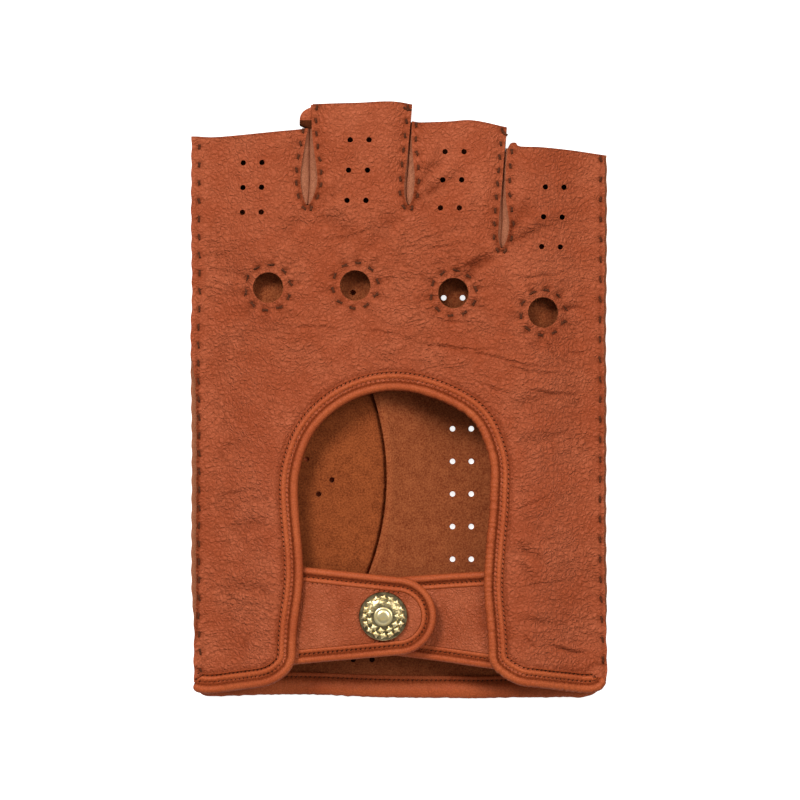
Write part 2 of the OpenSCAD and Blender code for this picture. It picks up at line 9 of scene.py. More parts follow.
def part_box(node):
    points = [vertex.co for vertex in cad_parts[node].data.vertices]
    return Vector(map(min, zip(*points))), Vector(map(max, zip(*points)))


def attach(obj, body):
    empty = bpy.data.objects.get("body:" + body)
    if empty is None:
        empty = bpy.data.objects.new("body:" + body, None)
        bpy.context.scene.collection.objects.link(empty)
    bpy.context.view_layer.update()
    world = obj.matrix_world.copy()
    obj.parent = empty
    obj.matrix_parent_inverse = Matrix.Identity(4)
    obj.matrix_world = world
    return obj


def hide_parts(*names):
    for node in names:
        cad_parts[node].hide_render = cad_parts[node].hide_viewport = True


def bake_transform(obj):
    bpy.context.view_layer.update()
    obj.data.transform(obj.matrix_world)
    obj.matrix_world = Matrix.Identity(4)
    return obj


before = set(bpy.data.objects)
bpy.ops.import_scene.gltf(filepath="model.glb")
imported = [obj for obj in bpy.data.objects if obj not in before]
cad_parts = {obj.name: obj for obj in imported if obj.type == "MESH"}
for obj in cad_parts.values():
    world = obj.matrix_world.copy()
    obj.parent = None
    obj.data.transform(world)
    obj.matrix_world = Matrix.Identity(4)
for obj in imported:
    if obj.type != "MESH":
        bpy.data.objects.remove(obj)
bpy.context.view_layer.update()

# Palm
# One piece of drum-dyed hairsheep nappa from the cuff to the finger ends, grain side down, so its buffed
# suede shows in the keyhole. It's punched with rows of vents, cut open for the thumb and sewn to the back.
MM = 0.001


def linear(hex_colour):
    """A colour written as sRGB hex, as linear RGBA."""
    parts = [int(hex_colour[k:k + 2], 16) / 255 for k in (1, 3, 5)]
    return [c / 12.92 if c <= 0.04045 else ((c + 0.055) / 1.055) ** 2.4 for c in parts] + [1]


def add(tree, kind, inputs=None, **settings):
    """Adds a node, sets it up, and gives each of its inputs a value or a link."""
    node = tree.nodes.new(kind)
    for key, value in settings.items():
        setattr(node, key, value)
    for key, value in (inputs or {}).items():
        if isinstance(value, bpy.types.NodeSocket):
            tree.links.new(value, node.inputs[key])
        else:
            node.inputs[key].default_value = value
    return node


def calc(tree, operation, *values, **settings):
    """The result of a math node."""
    return add(tree, "ShaderNodeMath", dict(enumerate(values)), operation=operation, **settings).outputs[0]


def moved(tree, operation, vector, by):
    """A vector that is shifted by another one, or scaled by a number."""
    key = "Scale" if operation == "SCALE" else 1
    return add(tree, "ShaderNodeVectorMath", {0: vector, key: by}, operation=operation).outputs[0]


def mottle(tree, place, size_mm, detail, **inputs):
    """Noise with spots of about the given size: its Fac and its Color."""
    inputs.update({"Vector": place, "Scale": 1 / (size_mm * MM), "Detail": detail})
    return add(tree, "ShaderNodeTexNoise", inputs).outputs


def mapped(tree, value, start, end, to=(0, 1), kind="SMOOTHSTEP"):
    """A value carried over from one span to another."""
    inputs = {"Value": value, "From Min": start, "From Max": end, "To Min": to[0], "To Max": to[1]}
    return add(tree, "ShaderNodeMapRange", inputs, interpolation_type=kind).outputs[0]


def new_tree(name):
    """The node tree of an empty material."""
    material = bpy.data.materials.new(name)
    material.use_nodes = True
    material.node_tree.nodes.clear()
    return material, material.node_tree


def ramp(tree, factor, stops):
    """Colours or greys blended along a factor."""
    node = add(tree, "ShaderNodeValToRGB", {"Fac": factor})
    while len(node.color_ramp.elements) < len(stops):
        node.color_ramp.elements.new(0.5)
    for element, (at, colour) in zip(node.color_ramp.elements, stops):
        element.position = at
        element.color = colour
    return node.outputs["Color"]


def shaded(material, inputs):
    """Ends a material's tree in one shader."""
    shader = add(material.node_tree, "ShaderNodeBsdfPrincipled", inputs)
    add(material.node_tree, "ShaderNodeOutputMaterial", {"Surface": shader.outputs[0]})
    return material


def grain_leather(name, light, middle, crease, plate_mm, relief_mm, shine):
    """Grained nappa: a satin skin of small plates, with longer wrinkles where the skin shows wear; painted
    shade in its creases, grooves and wrinkles mixes it towards its darkest colour, and its fine veins are
    darker.
    """
    material, tree = new_tree(name)
    place = add(tree, "ShaderNodeTexCoord").outputs["Object"]
    drift_mm = 2.6
    drift = moved(tree, "SUBTRACT", mottle(tree, place, drift_mm, 3)["Color"], (0.5, 0.5, 0.5))
    warped = moved(tree, "ADD", place, moved(tree, "SCALE", drift, drift_mm * MM))
    pores = mottle(tree, place, 0.45, 3)["Fac"]
    patches = mottle(tree, place, 9, 4)["Fac"]
    # Where the skin shows wear it wrinkles, and the wrinkles also get painted shade
    worn_and_shaded = add(tree, "ShaderNodeAttribute", attribute_name="worn_and_shaded").outputs["Fac"]
    worn_and_shaded = calc(tree, "MULTIPLY", worn_and_shaded, mapped(tree, patches, 0.3, 0.55, kind="LINEAR"))
    cells = []
    for stretch, size_mm in (((1, 1, 1), plate_mm), ((0.6, 1.5, 1), 2.6 * plate_mm)):
        longer = add(tree, "ShaderNodeMapping", {"Vector": warped, "Scale": stretch}).outputs[0]
        cells.append(add(tree, "ShaderNodeTexVoronoi", {"Vector": longer, "Scale": 1 / (size_mm * MM)},
                         feature="DISTANCE_TO_EDGE").outputs["Distance"])
    plates = mapped(tree, cells[0], 0, 0.4)
    fine_veins = mapped(tree, cells[0], 0, 0.13, (1, 0))
    long_veins = mapped(tree, cells[1], 0, 0.09, (1, 0))
    turn = moved(tree, "SCALE", mottle(tree, place, 22, 1)["Color"], 16 * MM)
    bent = moved(tree, "ADD", place, turn)
    longer = add(tree, "ShaderNodeMapping", {"Vector": bent, "Scale": (0.3, 1.2, 1)}).outputs[0]
    furrows = mapped(tree, mottle(tree, longer, plate_mm, 3, Distortion=0.4)["Fac"], 0.36, 0.56, (1, 0))
    wrinkles = calc(tree, "MULTIPLY", calc(tree, "MULTIPLY_ADD", long_veins, 0.4, furrows), worn_and_shaded)
    skin = calc(tree, "SUBTRACT", calc(tree, "MULTIPLY_ADD", pores, 0.8, plates), wrinkles)
    bump = add(tree, "ShaderNodeBump", {"Height": skin, "Distance": relief_mm * MM, "Strength": 1.0})
    tone = calc(tree, "MULTIPLY_ADD", pores, 0.5, patches)
    tone = ramp(tree, tone, [(0.58, linear(middle)), (0.92, linear(light))])
    # Painted shade: the amount marked on the mesh for creases, grooves and round sides, more in the wrinkles,
    # and the darker fine veins of the grain
    dark = add(tree, "ShaderNodeAttribute", attribute_name="crease").outputs["Fac"]
    dark = calc(tree, "MULTIPLY_ADD", wrinkles, 0.17, dark)
    dark = calc(tree, "MULTIPLY_ADD", fine_veins, 0.3, dark, use_clamp=True)
    colour = add(tree, "ShaderNodeMix", {"Factor": dark, 6: tone, 7: linear(crease)}, data_type="RGBA")
    gloss = mapped(tree, pores, 0, 1, (shine - 0.06, shine + 0.1), "LINEAR")
    gloss = calc(tree, "MULTIPLY_ADD", dark, 0.8, gloss, use_clamp=True)
    return shaded(material, {"Base Color": colour.outputs[2], "Roughness": gloss, "IOR": 1.48,
                             "Normal": bump.outputs["Normal"], "Specular IOR Level": 0.18})


def suede_leather(name, light, dark, nap_mm):
    """Buffed flesh side: matt, mottled where the nap lies this way and that, with a soft sheen."""
    material, tree = new_tree(name)
    place = add(tree, "ShaderNodeTexCoord").outputs["Object"]
    brushed = mottle(tree, place, nap_mm * 7, 6, Roughness=0.65, Distortion=0.6)["Fac"]
    fibres = mottle(tree, place, nap_mm, 4, Roughness=0.7)["Fac"]
    nap = calc(tree, "MULTIPLY_ADD", fibres, 3.0, brushed)
    tone = ramp(tree, calc(tree, "MULTIPLY", nap, 0.25), [(0.38, linear(dark)), (0.62, linear(light))])
    bump = add(tree, "ShaderNodeBump", {"Height": nap, "Distance": 0.1 * MM, "Strength": 0.6})
    return shaded(material, {"Base Color": tone, "Roughness": 0.95, "Normal": bump.outputs["Normal"],
                             "Specular IOR Level": 0.02, "Sheen Weight": 0.04, "Sheen Roughness": 0.5,
                             "Sheen Tint": linear("#C08A60")})


# The third colour of each grained leather is the painted shade laid into its creases, grooves and the sides
# of its rolls
tan_nappa = grain_leather("tan_nappa_leather", "#BB5F3B", "#A84D29", "#5E2209", 1.25, 0.24, 0.5)
edge_nappa = grain_leather("rolled_edge_leather", "#C25F32", "#B5532A", "#642408", 0.7, 0.05, 0.38)
brown_suede = suede_leather("brown_suede", "#B3643B", "#7C391F", 0.42)
raw_edge = suede_leather("cut_leather_edge", "#B87656", "#925436", 0.25)
# A near-black suede that paints shade: inside the finger stalls and behind the cuff vents
shadow_suede = suede_leather("shadow_suede", "#3A1C0E", "#241008", 0.4)

# The glove is cut flat, so its outline is drawn flat, in millimetres: two side seams, four cut finger ends
# and three slits. The sewn shell then rises from the side seams to a flat crown.
low, high = (np.array(corner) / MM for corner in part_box("back_panel"))
half_w = high[0]
leather_t = 0.9
seam_gap = 0.1
seam_z = low[2] - seam_gap
crown_h = high[2] - low[2] - leather_t
seam_w = 2.5
shoulder = 20.0
cuff_reach = -np.array(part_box("palm_hem")[0])[1] / MM
# Points, across and along, from the cuff on the thumb side round to the other cuff corner
left_seam = [(-52.7, -74), (-52.8, -64), (-52.2, -52), (-52.2, -40), (-52.1, -12), (-52.3, 5), (-52.3, 18),
             (-52.0, 27), (-52.2, 45), (-52.1, 67.1)]
finger_ends = [
    [(-52.1, 67.1), (-47.8, 66.9), (-40, 67.4), (-28, 68.4), (-23.6, 69.0)],
    [(-22.4, 75.1), (-17.2, 75.2), (-10, 75.4), (-4.7, 75.7), (-0.8, 75.6), (2.9, 75.0)],
    [(2.8, 70.7), (5.3, 70.4), (12, 70.6), (18.3, 70.9), (26.9, 69.2)],
    [(27.2, 64.0), (27.9, 65.1), (29.2, 65.2), (30.2, 64.3), (36, 64.1), (44, 63.4), (52.0, 62.3)]]
slits = [
    [(-23.6, 69.0), (-24.5, 64.3), (-25.4, 58.5), (-25.5, 55.2), (-24.9, 51.6), (-23.7, 49.3),
     (-22.2, 51.6), (-21.3, 55.2), (-21.4, 58.5), (-22.3, 65), (-22.7, 70), (-22.4, 75.1)],
    [(2.9, 75.0), (2.5, 71), (1.4, 60), (0.9, 55.7), (0.9, 51.8), (1.8, 49.3),
     (2.9, 50.9), (3.3, 53.5), (3.5, 57), (3.1, 61), (2.7, 66), (2.8, 70.7)],
    [(26.9, 69.2), (26.3, 63.4), (25.7, 55.6), (25.2, 50.1), (24.8, 44.6), (24.7, 41), (25.5, 38.4),
     (26.9, 40.8), (27.5, 44.6), (27.1, 47.8), (26.6, 51.5), (26.6, 58), (27.2, 64.0)]]
right_seam = [(52.0, 62.3), (52.0, 38), (51.8, 15), (51.9, 0), (51.9, -41), (52.6, -66), (52.5, -74)]
crotch_y = [min(y for _, y in slit) for slit in slits]
# Where each finger's pieces start, as a line across its root that stays clear of the vents
finger_roots = [
    [(-53.5, 49.3), (-23.7, 49.3)],
    [(-23.7, 49.3), (1.8, 49.3)],
    [(1.8, 49.3), (7, 49.95), (24.95, 49.95)],
    [(25.5, 38.4), (32, 40.1), (53.5, 40.1)]]
fingers = ["index", "middle", "ring", "little"]


def ease(t):
    """Goes softly from 0 to 1 as t does."""
    t = np.clip(t, 0, 1)
    return t * t * (3 - 2 * t)


def bell(t):
    """1 at 0, and falls away to nothing on either side."""
    return np.exp(-t ** 2)


def circle(turn):
    """Points of a circle of radius 1 about the origin."""
    return np.column_stack([np.cos(turn), np.sin(turn)])


def through(points, spacing):
    """Smooth line through given points, with a point about every spacing."""
    p = np.array(points, float)
    p = np.vstack([2 * p[0] - p[1], p, 2 * p[-1] - p[-2]])
    parts = []
    for a, b, c, d in zip(p, p[1:], p[2:], p[3:]):
        n = max(1, math.ceil(np.linalg.norm(c - b) / spacing))
        t = np.arange(n)[:, None] / n
        parts.append(b + 0.5 * t * (c - a + t * (2 * a - 5 * b + 4 * c - d + t * (3 * (b - c) + d - a))))
    return np.vstack(parts + [p[-2:-1]])


def ring_of(sides, spacing):
    """A ring of sides that follow each other, each a smooth line through its own points."""
    return np.vstack([through(side, spacing)[:-1] for side in sides])


def distance_to(line, x, y):
    """Distance of each point from a line given as close points."""
    tree = kdtree.KDTree(len(line))
    for k, (px, py) in enumerate(line):
        tree.insert((px, py, 0), k)
    tree.balance()
    return np.array([tree.find((px, py, 0))[2] for px, py in zip(x, y)])


def wavy(x, y, size_x, size_y, seed):
    """Smooth noise between -1 and 1 whose waves are so many millimetres long."""
    return np.array([noise.noise((px / size_x, py / size_y, seed)) for px, py in zip(x, y)])


def seam_rise(x):
    """How far up from the side seams to the crown."""
    return ease((half_w - seam_w - np.abs(x)) / shoulder)


slit_lines = [through(slit, 0.4) for slit in slits]


def nearest_slit(x, y):
    """Distance to the nearest slit, and how far down that slit is cut."""
    near = np.full(len(x), 99.0)
    bottom = np.zeros(len(x))
    for line, crotch in zip(slit_lines, crotch_y):
        gap = distance_to(line, x, y)
        bottom = np.where(gap < near, crotch, bottom)
        near = np.minimum(near, gap)
    return near, bottom


def slit_dip(x, y):
    """How far the leather is drawn towards the middle of the stall beside a slit."""
    deepest, wide, run = 1.4, 6, 9
    near, bottom = nearest_slit(x, y)
    return deepest * (1 - ease(near / wide)) * ease((y - bottom + 1) / run)


def back_under(x, y):
    """Underside of the back leather, before its creases; the crown gets lower along the fingers."""
    lower = 1 - 0.2 * ease((y - 37.4) / 40)
    return seam_z + seam_gap + seam_rise(x) * crown_h * lower - slit_dip(x, y)


thumb_lift = 8.2
thumb_right, thumb_span = -8, (-65, 30)
drape = 25.0
# Where the palm billows up under a knuckle hole: across, along and height
billows = [(13.3, 26.5, 8.0), (35.0, 21.6, 7.6)]
billow_r = 9


def palm_under(x, y):
    """Underside of the palm leather, which lies on the table and rises over the folded thumb."""
    over_thumb = (1 - ease((x - thumb_right) / drape)) * ease((y - thumb_span[0]) / drape)
    over_thumb *= 1 - ease((y - thumb_span[1]) / drape)
    side = seam_z - seam_gap - leather_t
    rise = thumb_lift * over_thumb
    for bx, by, height in billows:
        rise = np.maximum(rise, height * np.exp(-((x - bx) / billow_r) ** 2 - ((y - by) / billow_r) ** 2))
    return side + (rise - side) * seam_rise(x) + slit_dip(x, y)


side_pitch = {-1: 4.6, 1: 5.1}


def scalloped(line, wider, fades):
    """A side seam, drawn in a little at each stitch and moved outwards beyond where the fade starts."""
    side = int(np.sign(line[0, 0]))
    depth = 0.2
    pull = depth * (1 + np.cos(2 * np.pi * line[:, 1] / side_pitch[side])) / 2
    wider = wider * (0.1 + 0.9 * ease((line[:, 1] - fades[0]) / fades[1]))
    return np.column_stack([line[:, 0] + side * (wider - pull), line[:, 1]])


def outline(step, bottoms, wider, fades):
    """Outline of the hand and fingers from the cuff's thumb side to its other side."""
    left = [(left_seam[0][0], bottoms[0])] + [p for p in left_seam if p[1] > bottoms[0] + 3]
    right = [p for p in right_seam if p[1] > bottoms[1] + 3] + [(right_seam[-1][0], bottoms[1])]
    parts = [scalloped(through(left, step), wider[0], fades)]
    for end, slit in zip(finger_ends, slits):
        parts += [through(end, step)[:-1], through(slit, step)[:-1]]
    parts += [through(finger_ends[3], step)[:-1], scalloped(through(right, step), wider[1], fades)]
    return np.vstack(parts)


left_line, right_line = through(left_seam, 1.0), through(right_seam[::-1], 1.0)
end_points = np.vstack([through(end, 0.4) for end in finger_ends])


def side_gaps(x, y):
    """Distance from the two side seams, positive inside the glove."""
    return (x - np.interp(y, left_line[:, 1], left_line[:, 0]),
            np.interp(y, right_line[:, 1], right_line[:, 0]) - x)


def round_hole(x, y, d, step):
    """A round hole as a ring of points."""
    n = max(14, math.ceil(math.pi * d / step))
    turn = np.arange(n) * 2 * np.pi / n
    return [x, y] + d / 2 * circle(turn)


def inside(points, rings):
    """True for the points that an odd number of rings go round."""
    odd = np.zeros(len(points), bool)
    x, y = points.T
    for ring in rings:
        for (ax, ay), (bx, by) in zip(ring, np.roll(ring, -1, axis=0)):
            if ay != by:
                odd ^= ((ay > y) != (by > y)) & (x < (bx - ax) * (y - ay) / (by - ay) + ax)
    return odd


def flat_panel(rings, lines, step):
    """Even triangles between rings, with edges along the given lines: points and corner numbers."""
    fixed, edges = [], []
    for path, gaps in [(ring, 0) for ring in rings] + [(line, 1) for line in lines]:
        first = len(fixed)
        fixed.extend(path)
        edges += [(first + k, first + (k + 1) % len(path)) for k in range(len(path) - gaps)]
    fixed = np.array(fixed)
    (x0, y0), (x1, y1) = fixed.min(0), fixed.max(0)
    grid = []
    for k, y in enumerate(np.arange(y0, y1, step * math.sqrt(3) / 2)):
        x = np.arange(x0 + step / 2 * (k % 2), x1, step)
        grid.append(np.column_stack([x, np.full(len(x), y)]))
    grid = np.vstack(grid)
    grid = grid[inside(grid, rings)]
    grid = grid[distance_to(fixed, *grid.T) > 0.6 * step]
    corners = [Vector(p) for p in np.vstack([fixed, grid])]
    flat, _, faces, _, _, _ = delaunay_2d_cdt(corners, edges, [], 0, 1e-5)
    points = np.array([(p.x, p.y) for p in flat])
    faces = np.array([face for face in faces if len(face) == 3])
    faces = faces[inside(points[faces].mean(1), rings)]
    a, b, c = (points[faces[:, k]] for k in range(3))
    turned = (b[:, 0] - a[:, 0]) * (c[:, 1] - a[:, 1]) - (b[:, 1] - a[:, 1]) * (c[:, 0] - a[:, 0]) < 0
    faces[turned] = faces[turned][:, ::-1]
    return points, faces


def vertex_normals(points, faces):
    """Mean normal of the faces round each point."""
    a, b, c = (points[faces[:, k]] for k in range(3))
    flat = np.cross(b - a, c - a)
    total = np.zeros_like(points)
    for k in range(3):
        np.add.at(total, faces[:, k], flat)
    return total / np.maximum(np.linalg.norm(total, axis=1), 1e-12)[:, None]


def mesh_object(name, points, faces, materials, numbers=0, normals=None):
    """A smooth piece at the origin from points in millimetres, with the number of each face's material."""
    mesh = bpy.data.meshes.new(name)
    mesh.from_pydata((np.asarray(points) * MM).tolist(), [], [list(map(int, face)) for face in faces])
    for material in materials:
        mesh.materials.append(material)
    mesh.polygons.foreach_set("use_smooth", np.ones(len(mesh.polygons), bool))
    mesh.polygons.foreach_set("material_index", np.full(len(faces), numbers, np.int32))
    if normals is None:
        mesh.set_sharp_from_angle(angle=math.radians(50))
    else:
        mesh.normals_split_custom_set([tuple(n) for n in normals])
    piece = bpy.data.objects.new(name, mesh)
    bpy.context.scene.collection.objects.link(piece)
    return piece


def leather_pieces(names, owner, flat, faces, top, under, materials, marks=None, top_numbers=None):
    """Cuts a sheet of leather, given by its two surfaces, into closed pieces that meet without a step."""
    upper = np.column_stack([flat, top])
    lower = np.column_stack([flat, under])
    upper_normals = vertex_normals(upper, faces)
    lower_normals = -vertex_normals(lower, faces)
    if top_numbers is None:
        top_numbers = np.zeros(len(faces), int)
    made = {}
    for number, name in enumerate(names):
        own = faces[owner == number]
        used, own = np.unique(own, return_inverse=True)
        own = own.reshape(-1, 3)
        n = len(used)
        sides = {}
        for a, b in np.vstack([own[:, [0, 1]], own[:, [1, 2]], own[:, [2, 0]]]):
            if (b, a) in sides:
                del sides[(b, a)]
            else:
                sides[(a, b)] = True
        rim = np.array([(a, a + n, b + n, b) for a, b in sides])
        points = np.vstack([upper[used], lower[used]])
        across = np.cross(points[rim[:, 1]] - points[rim[:, 0]], points[rim[:, 3]] - points[rim[:, 0]])
        rim_normals = np.zeros((n, 3))
        np.add.at(rim_normals, rim[:, 0], across)
        np.add.at(rim_normals, rim[:, 3], across)
        rim_normals /= np.maximum(np.linalg.norm(rim_normals, axis=1), 1e-12)[:, None]
        normals = np.vstack([upper_normals[used][own.ravel()], lower_normals[used][own[:, ::-1].ravel()],
                             rim_normals[(rim % n).ravel()]])
        numbers = np.concatenate([top_numbers[owner == number], np.full(len(own), 1), np.full(len(rim), 2)])
        parts = list(own) + list(own[:, ::-1] + n) + list(rim)
        made[name] = mesh_object(name, points, parts, materials, numbers, normals)
        for key, values in (marks or {}).items():
            mark = made[name].data.attributes.new(key, "FLOAT", "POINT")
            mark.data.foreach_set("value", np.concatenate([values[used], np.zeros(n)]).astype(np.float32))
    return made


def leather_piece(name, flat, faces, top, under, materials):
    """A sheet of leather that is one closed piece."""
    return leather_pieces([name], np.zeros(len(faces)), flat, faces, top, under, materials)[name]


def finger_owner(flat, faces):
    """0 for faces of the hand, or the number of the finger, from 1, beyond its root line."""
    middle = flat[faces].mean(1)
    owner = np.zeros(len(faces), int)
    limits = [-99] + [np.mean([x for x, _ in slit]) for slit in slits] + [99]
    for k, root in enumerate(finger_roots):
        xs, ys = zip(*root)
        beyond = middle[:, 1] > np.interp(middle[:, 0], xs, ys)
        owner[(middle[:, 0] > limits[k]) & (middle[:, 0] < limits[k + 1]) & beyond] = k + 1
    return owner


def bend_with(piece):
    """Bakes a piece's placement into its mesh."""
    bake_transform(piece)


def bend_fingers(pieces, suffix):
    """Bakes the finger pieces of a sheet in place and hides their imported parts."""
    for k, finger in enumerate(fingers):
        piece = pieces[finger + suffix]
        bend_with(piece)
        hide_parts(finger + suffix)


palm_step = 0.9
vent_d = 1.4
vent_gap = 4.8
palm_rows = [((15.6, -57.6), 11), ((-9.8, 18.9), 3), ((-9.8, -66.6), 1)]
palm_row_step = 8.35
palm_row_lean = -2.3
quirk_x, quirk_y, quirk_r = -3.6, -20.0, 66.0
thumb_hole_left, thumb_hole_y = -42.0, (-47.0, 3.0)
palm_bottom = -71.8
vent_step = 0.3
# The palm's cut edge stands out past the back as a narrow band, which fades towards the cuff
band_w, band_fades = (1.4, 0.6), (-63, 16)


def vent_pair(x, y):
    """Two vents side by side."""
    return [round_hole(x + side * vent_gap / 2, y, vent_d, vent_step) for side in (-1, 1)]


def palm_vents():
    """Pairs of vents, in rows that drift towards the thumb beyond the keyhole."""
    holes = []
    for (x, y), rows in palm_rows:
        for row_y in y + palm_row_step * np.arange(rows):
            row_x = x + palm_row_lean * float(ease((row_y + 6) / 32)) * (x > 0)
            holes += vent_pair(row_x, row_y)
    return holes


def quirk_line(aside):
    """The curved seam across the palm between thumb and palm leather, shifted towards the palm."""
    low, high = (math.asin((y - quirk_y) / (quirk_r + aside)) for y in thumb_hole_y)
    turn = np.linspace(low, high, 40)
    r = quirk_r + aside
    return [quirk_x - quirk_r, quirk_y] + r * circle(turn)


def thumb_hole(step):
    """The palm's opening above the thumb: a bowed seam across the palm and a straight edge by the fold."""
    bow = quirk_line(0)
    low, high = ((thumb_hole_left, y) for y in thumb_hole_y)
    return ring_of([bow, [bow[-1], high], [high, low], [low, bow[0]]], step)


def palm_relief(x, y):
    """Soft folds of the palm, which die away at the side seams."""
    loose = ease(np.minimum(*side_gaps(x, y)) / 14)
    to_quirk = distance_to(quirk_line(0), x, y)
    bevel = 0.35 * bell((to_quirk - 1.5) / 1.0) - 0.45 * bell(to_quirk / 0.5)
    folds = 0.4 * wavy(x, y, 8, 40, 2.5) + 0.15 * wavy(x, y, 12, 12, 7.5)
    return loose * folds + bevel * (x > quirk_x - 20)


palm_rings = [outline(palm_step, (palm_bottom, palm_bottom), band_w, band_fades), thumb_hole(palm_step)]
palm_rings += palm_vents()
root_reach = 51
root_lines = [through(root, 0.5)[1:-1] for root in finger_roots]
root_lines = [line[np.abs(line[:, 0]) < root_reach] for line in root_lines]
bevel_lines = [quirk_line(aside)[2:-2] for aside in (0.4, 0.9, 1.5, 2.2)]
palm_flat, palm_faces = flat_panel(palm_rings, root_lines + bevel_lines, palm_step)
palm_low = palm_under(*palm_flat.T)
palm_soft = palm_relief(*palm_flat.T)
palm_owner = finger_owner(palm_flat, palm_faces)
# The band beside the seams shows the cut edge, and the inside of the stalls gets painted shade
at_edge = np.min(side_gaps(*palm_flat[palm_faces].mean(1).T), axis=0) < 0.8
palm_numbers = np.where(at_edge, 2, np.where(palm_owner > 0, 3, 0))
palm = leather_pieces(["palm_panel"] + [f + "_palm" for f in fingers], palm_owner, palm_flat, palm_faces,
                      palm_low + leather_t + palm_soft, palm_low + np.maximum(palm_soft, -palm_low),
                      [brown_suede, tan_nappa, raw_edge, shadow_suede], top_numbers=palm_numbers)
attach(palm["palm_panel"], "hand")
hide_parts("palm_panel")
bend_fingers(palm, "_palm")
# A dark sheet on the inside of the cuff, hidden in the palm behind its two vents, that paints the shade seen
# through them
shade_sheet_ring = np.array([(-17, -70), (-3, -70), (-3, -63), (-17, -63)], float)
shade_sheet_gap, shade_sheet_t = 0.3, 0.2
shade_sheet_flat, shade_sheet_faces = flat_panel([shade_sheet_ring], [], 2.0)
shade_sheet_low = palm_under(*shade_sheet_flat.T)
shade_sheet_low = shade_sheet_low + np.maximum(palm_relief(*shade_sheet_flat.T), -shade_sheet_low) + shade_sheet_gap
cuff_vent_shade = leather_piece("cuff_vent_shade", shade_sheet_flat, shade_sheet_faces, shade_sheet_low + shade_sheet_t, shade_sheet_low,
                            [shadow_suede, tan_nappa, tan_nappa])
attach(cuff_vent_shade, "hand")

# Back
# The back of the hand and the backs of the four stalls are one piece of the same nappa. It is pierced by the
# knuckle holes and the finger vents, cut away over the wrist in a keyhole, and sewn to the palm by hand.
# Everything along the keyhole follows one line, the middle of its rolled edge
arch_x, arch_y, arch_r = -1.6, -22.8, 26.2
waist_in = 1.3
corner_r = 8.7
cuff_y = -cuff_reach + 1.8
corner_y = cuff_y + corner_r
bead_r = 1.2
cuff_lift = 2.1
# The arch is squarer at its right shoulder: how far out, at which angle and over how many degrees
shoulder_out, shoulder_at, shoulder_wide = 1.25, 41, 17
edge_step = 0.25


def evenly(line, spacing):
    """A line of points, walked again in equal steps."""
    length = np.concatenate([[0], np.cumsum(np.linalg.norm(np.diff(line, axis=0), axis=1))])
    stops = np.linspace(0, length[-1], max(2, round(length[-1] / spacing)) + 1)
    return np.column_stack([np.interp(stops, length, line[:, k]) for k in range(line.shape[1])])


def keyhole_line(spacing):
    """Middle of the rolled edge, along the left cuff, round the keyhole and along the right cuff."""
    turn = np.radians(np.linspace(90, 180, 60))
    arch = arch_r * circle(turn) + [0, arch_y]
    y = np.linspace(arch_y, corner_y, 50)[1:-1]
    waist = arch_r - waist_in * np.sin(np.pi * (arch_y - y) / (arch_y - corner_y)) ** 2
    turn = np.radians(np.linspace(0, -90, 20))
    corner = corner_r * circle(turn) + [-arch_r - corner_r, corner_y]
    half = np.vstack([arch, np.column_stack([-waist, y]), corner])
    left = half[::-1] + [arch_x, 0]
    right = half[1:] * [-1, 1] + [arch_x, 0]
    left_end = through([(-52.9, cuff_y + 1.0), (-51, cuff_y + 0.3), (-47, cuff_y)], 0.4)
    right_end = through([(46, cuff_y), (49.2, cuff_y + 0.4), (51.2, cuff_y + 1.4), (52.0, cuff_y + 3.0)], 0.4)
    line = np.vstack([left_end, left, right, right_end])
    x, y = line.T.copy()
    left_in = 0.5 * ease((-6 - y) / 10) * (1 - ease((-44 - y) / 14))
    right_in = -0.85 * ease((-14 - y) / 10) - 0.4 * ease((-40 - y) / 10)
    line[:, 0] += np.where(x < arch_x, left_in, right_in) * ease((y - cuff_y + 1) / 7)
    angle = np.arctan2(y - arch_y, x - arch_x)
    squarer = shoulder_out * bell((np.degrees(angle) - shoulder_at) / shoulder_wide)
    line += squarer[:, None] * circle(angle)
    inner = ease((half_w - 2 - np.abs(line[:, 0])) / 18)
    line[:, 1] += cuff_lift * inner * (1 - ease((line[:, 1] - cuff_y) / 14))
    return evenly(line, spacing)


def left_side(line):
    """Unit direction to the left of each step of a line, in plan."""
    ahead = np.gradient(line[:, :2], axis=0)
    ahead /= np.linalg.norm(ahead, axis=1)[:, None]
    return np.column_stack([-ahead[:, 1], ahead[:, 0]])


keyhole = keyhole_line(edge_step)
keyhole_out = left_side(keyhole)
back_step = 0.62
# Beside the index finger the back reaches over the band of the palm
over_band = (2, 13)
vents = {"index": ((-37.9, 47.6), (0.1, 6.3)), "middle": ((-11.3, 50.5), (0.4, 7.7)),
         "ring": ((12.4, 48.6), (0.6, 7.15)), "little": ((38.1, 38.8), (0.5, 7.6))}
vent_rows = 3
knuckles = np.array([(-33.7, 28.4), (-11.6, 28.9), (13.3, 27.0), (36.1, 22.1)])
knuckle_d = 7.8
knuckle_stitches = 10
knuckle_stitch_r = knuckle_d / 2 + 1.85
side_in = {-1: 0.7, 1: 1.1}
slit_in = 1.1
slit_pitch = 3.5
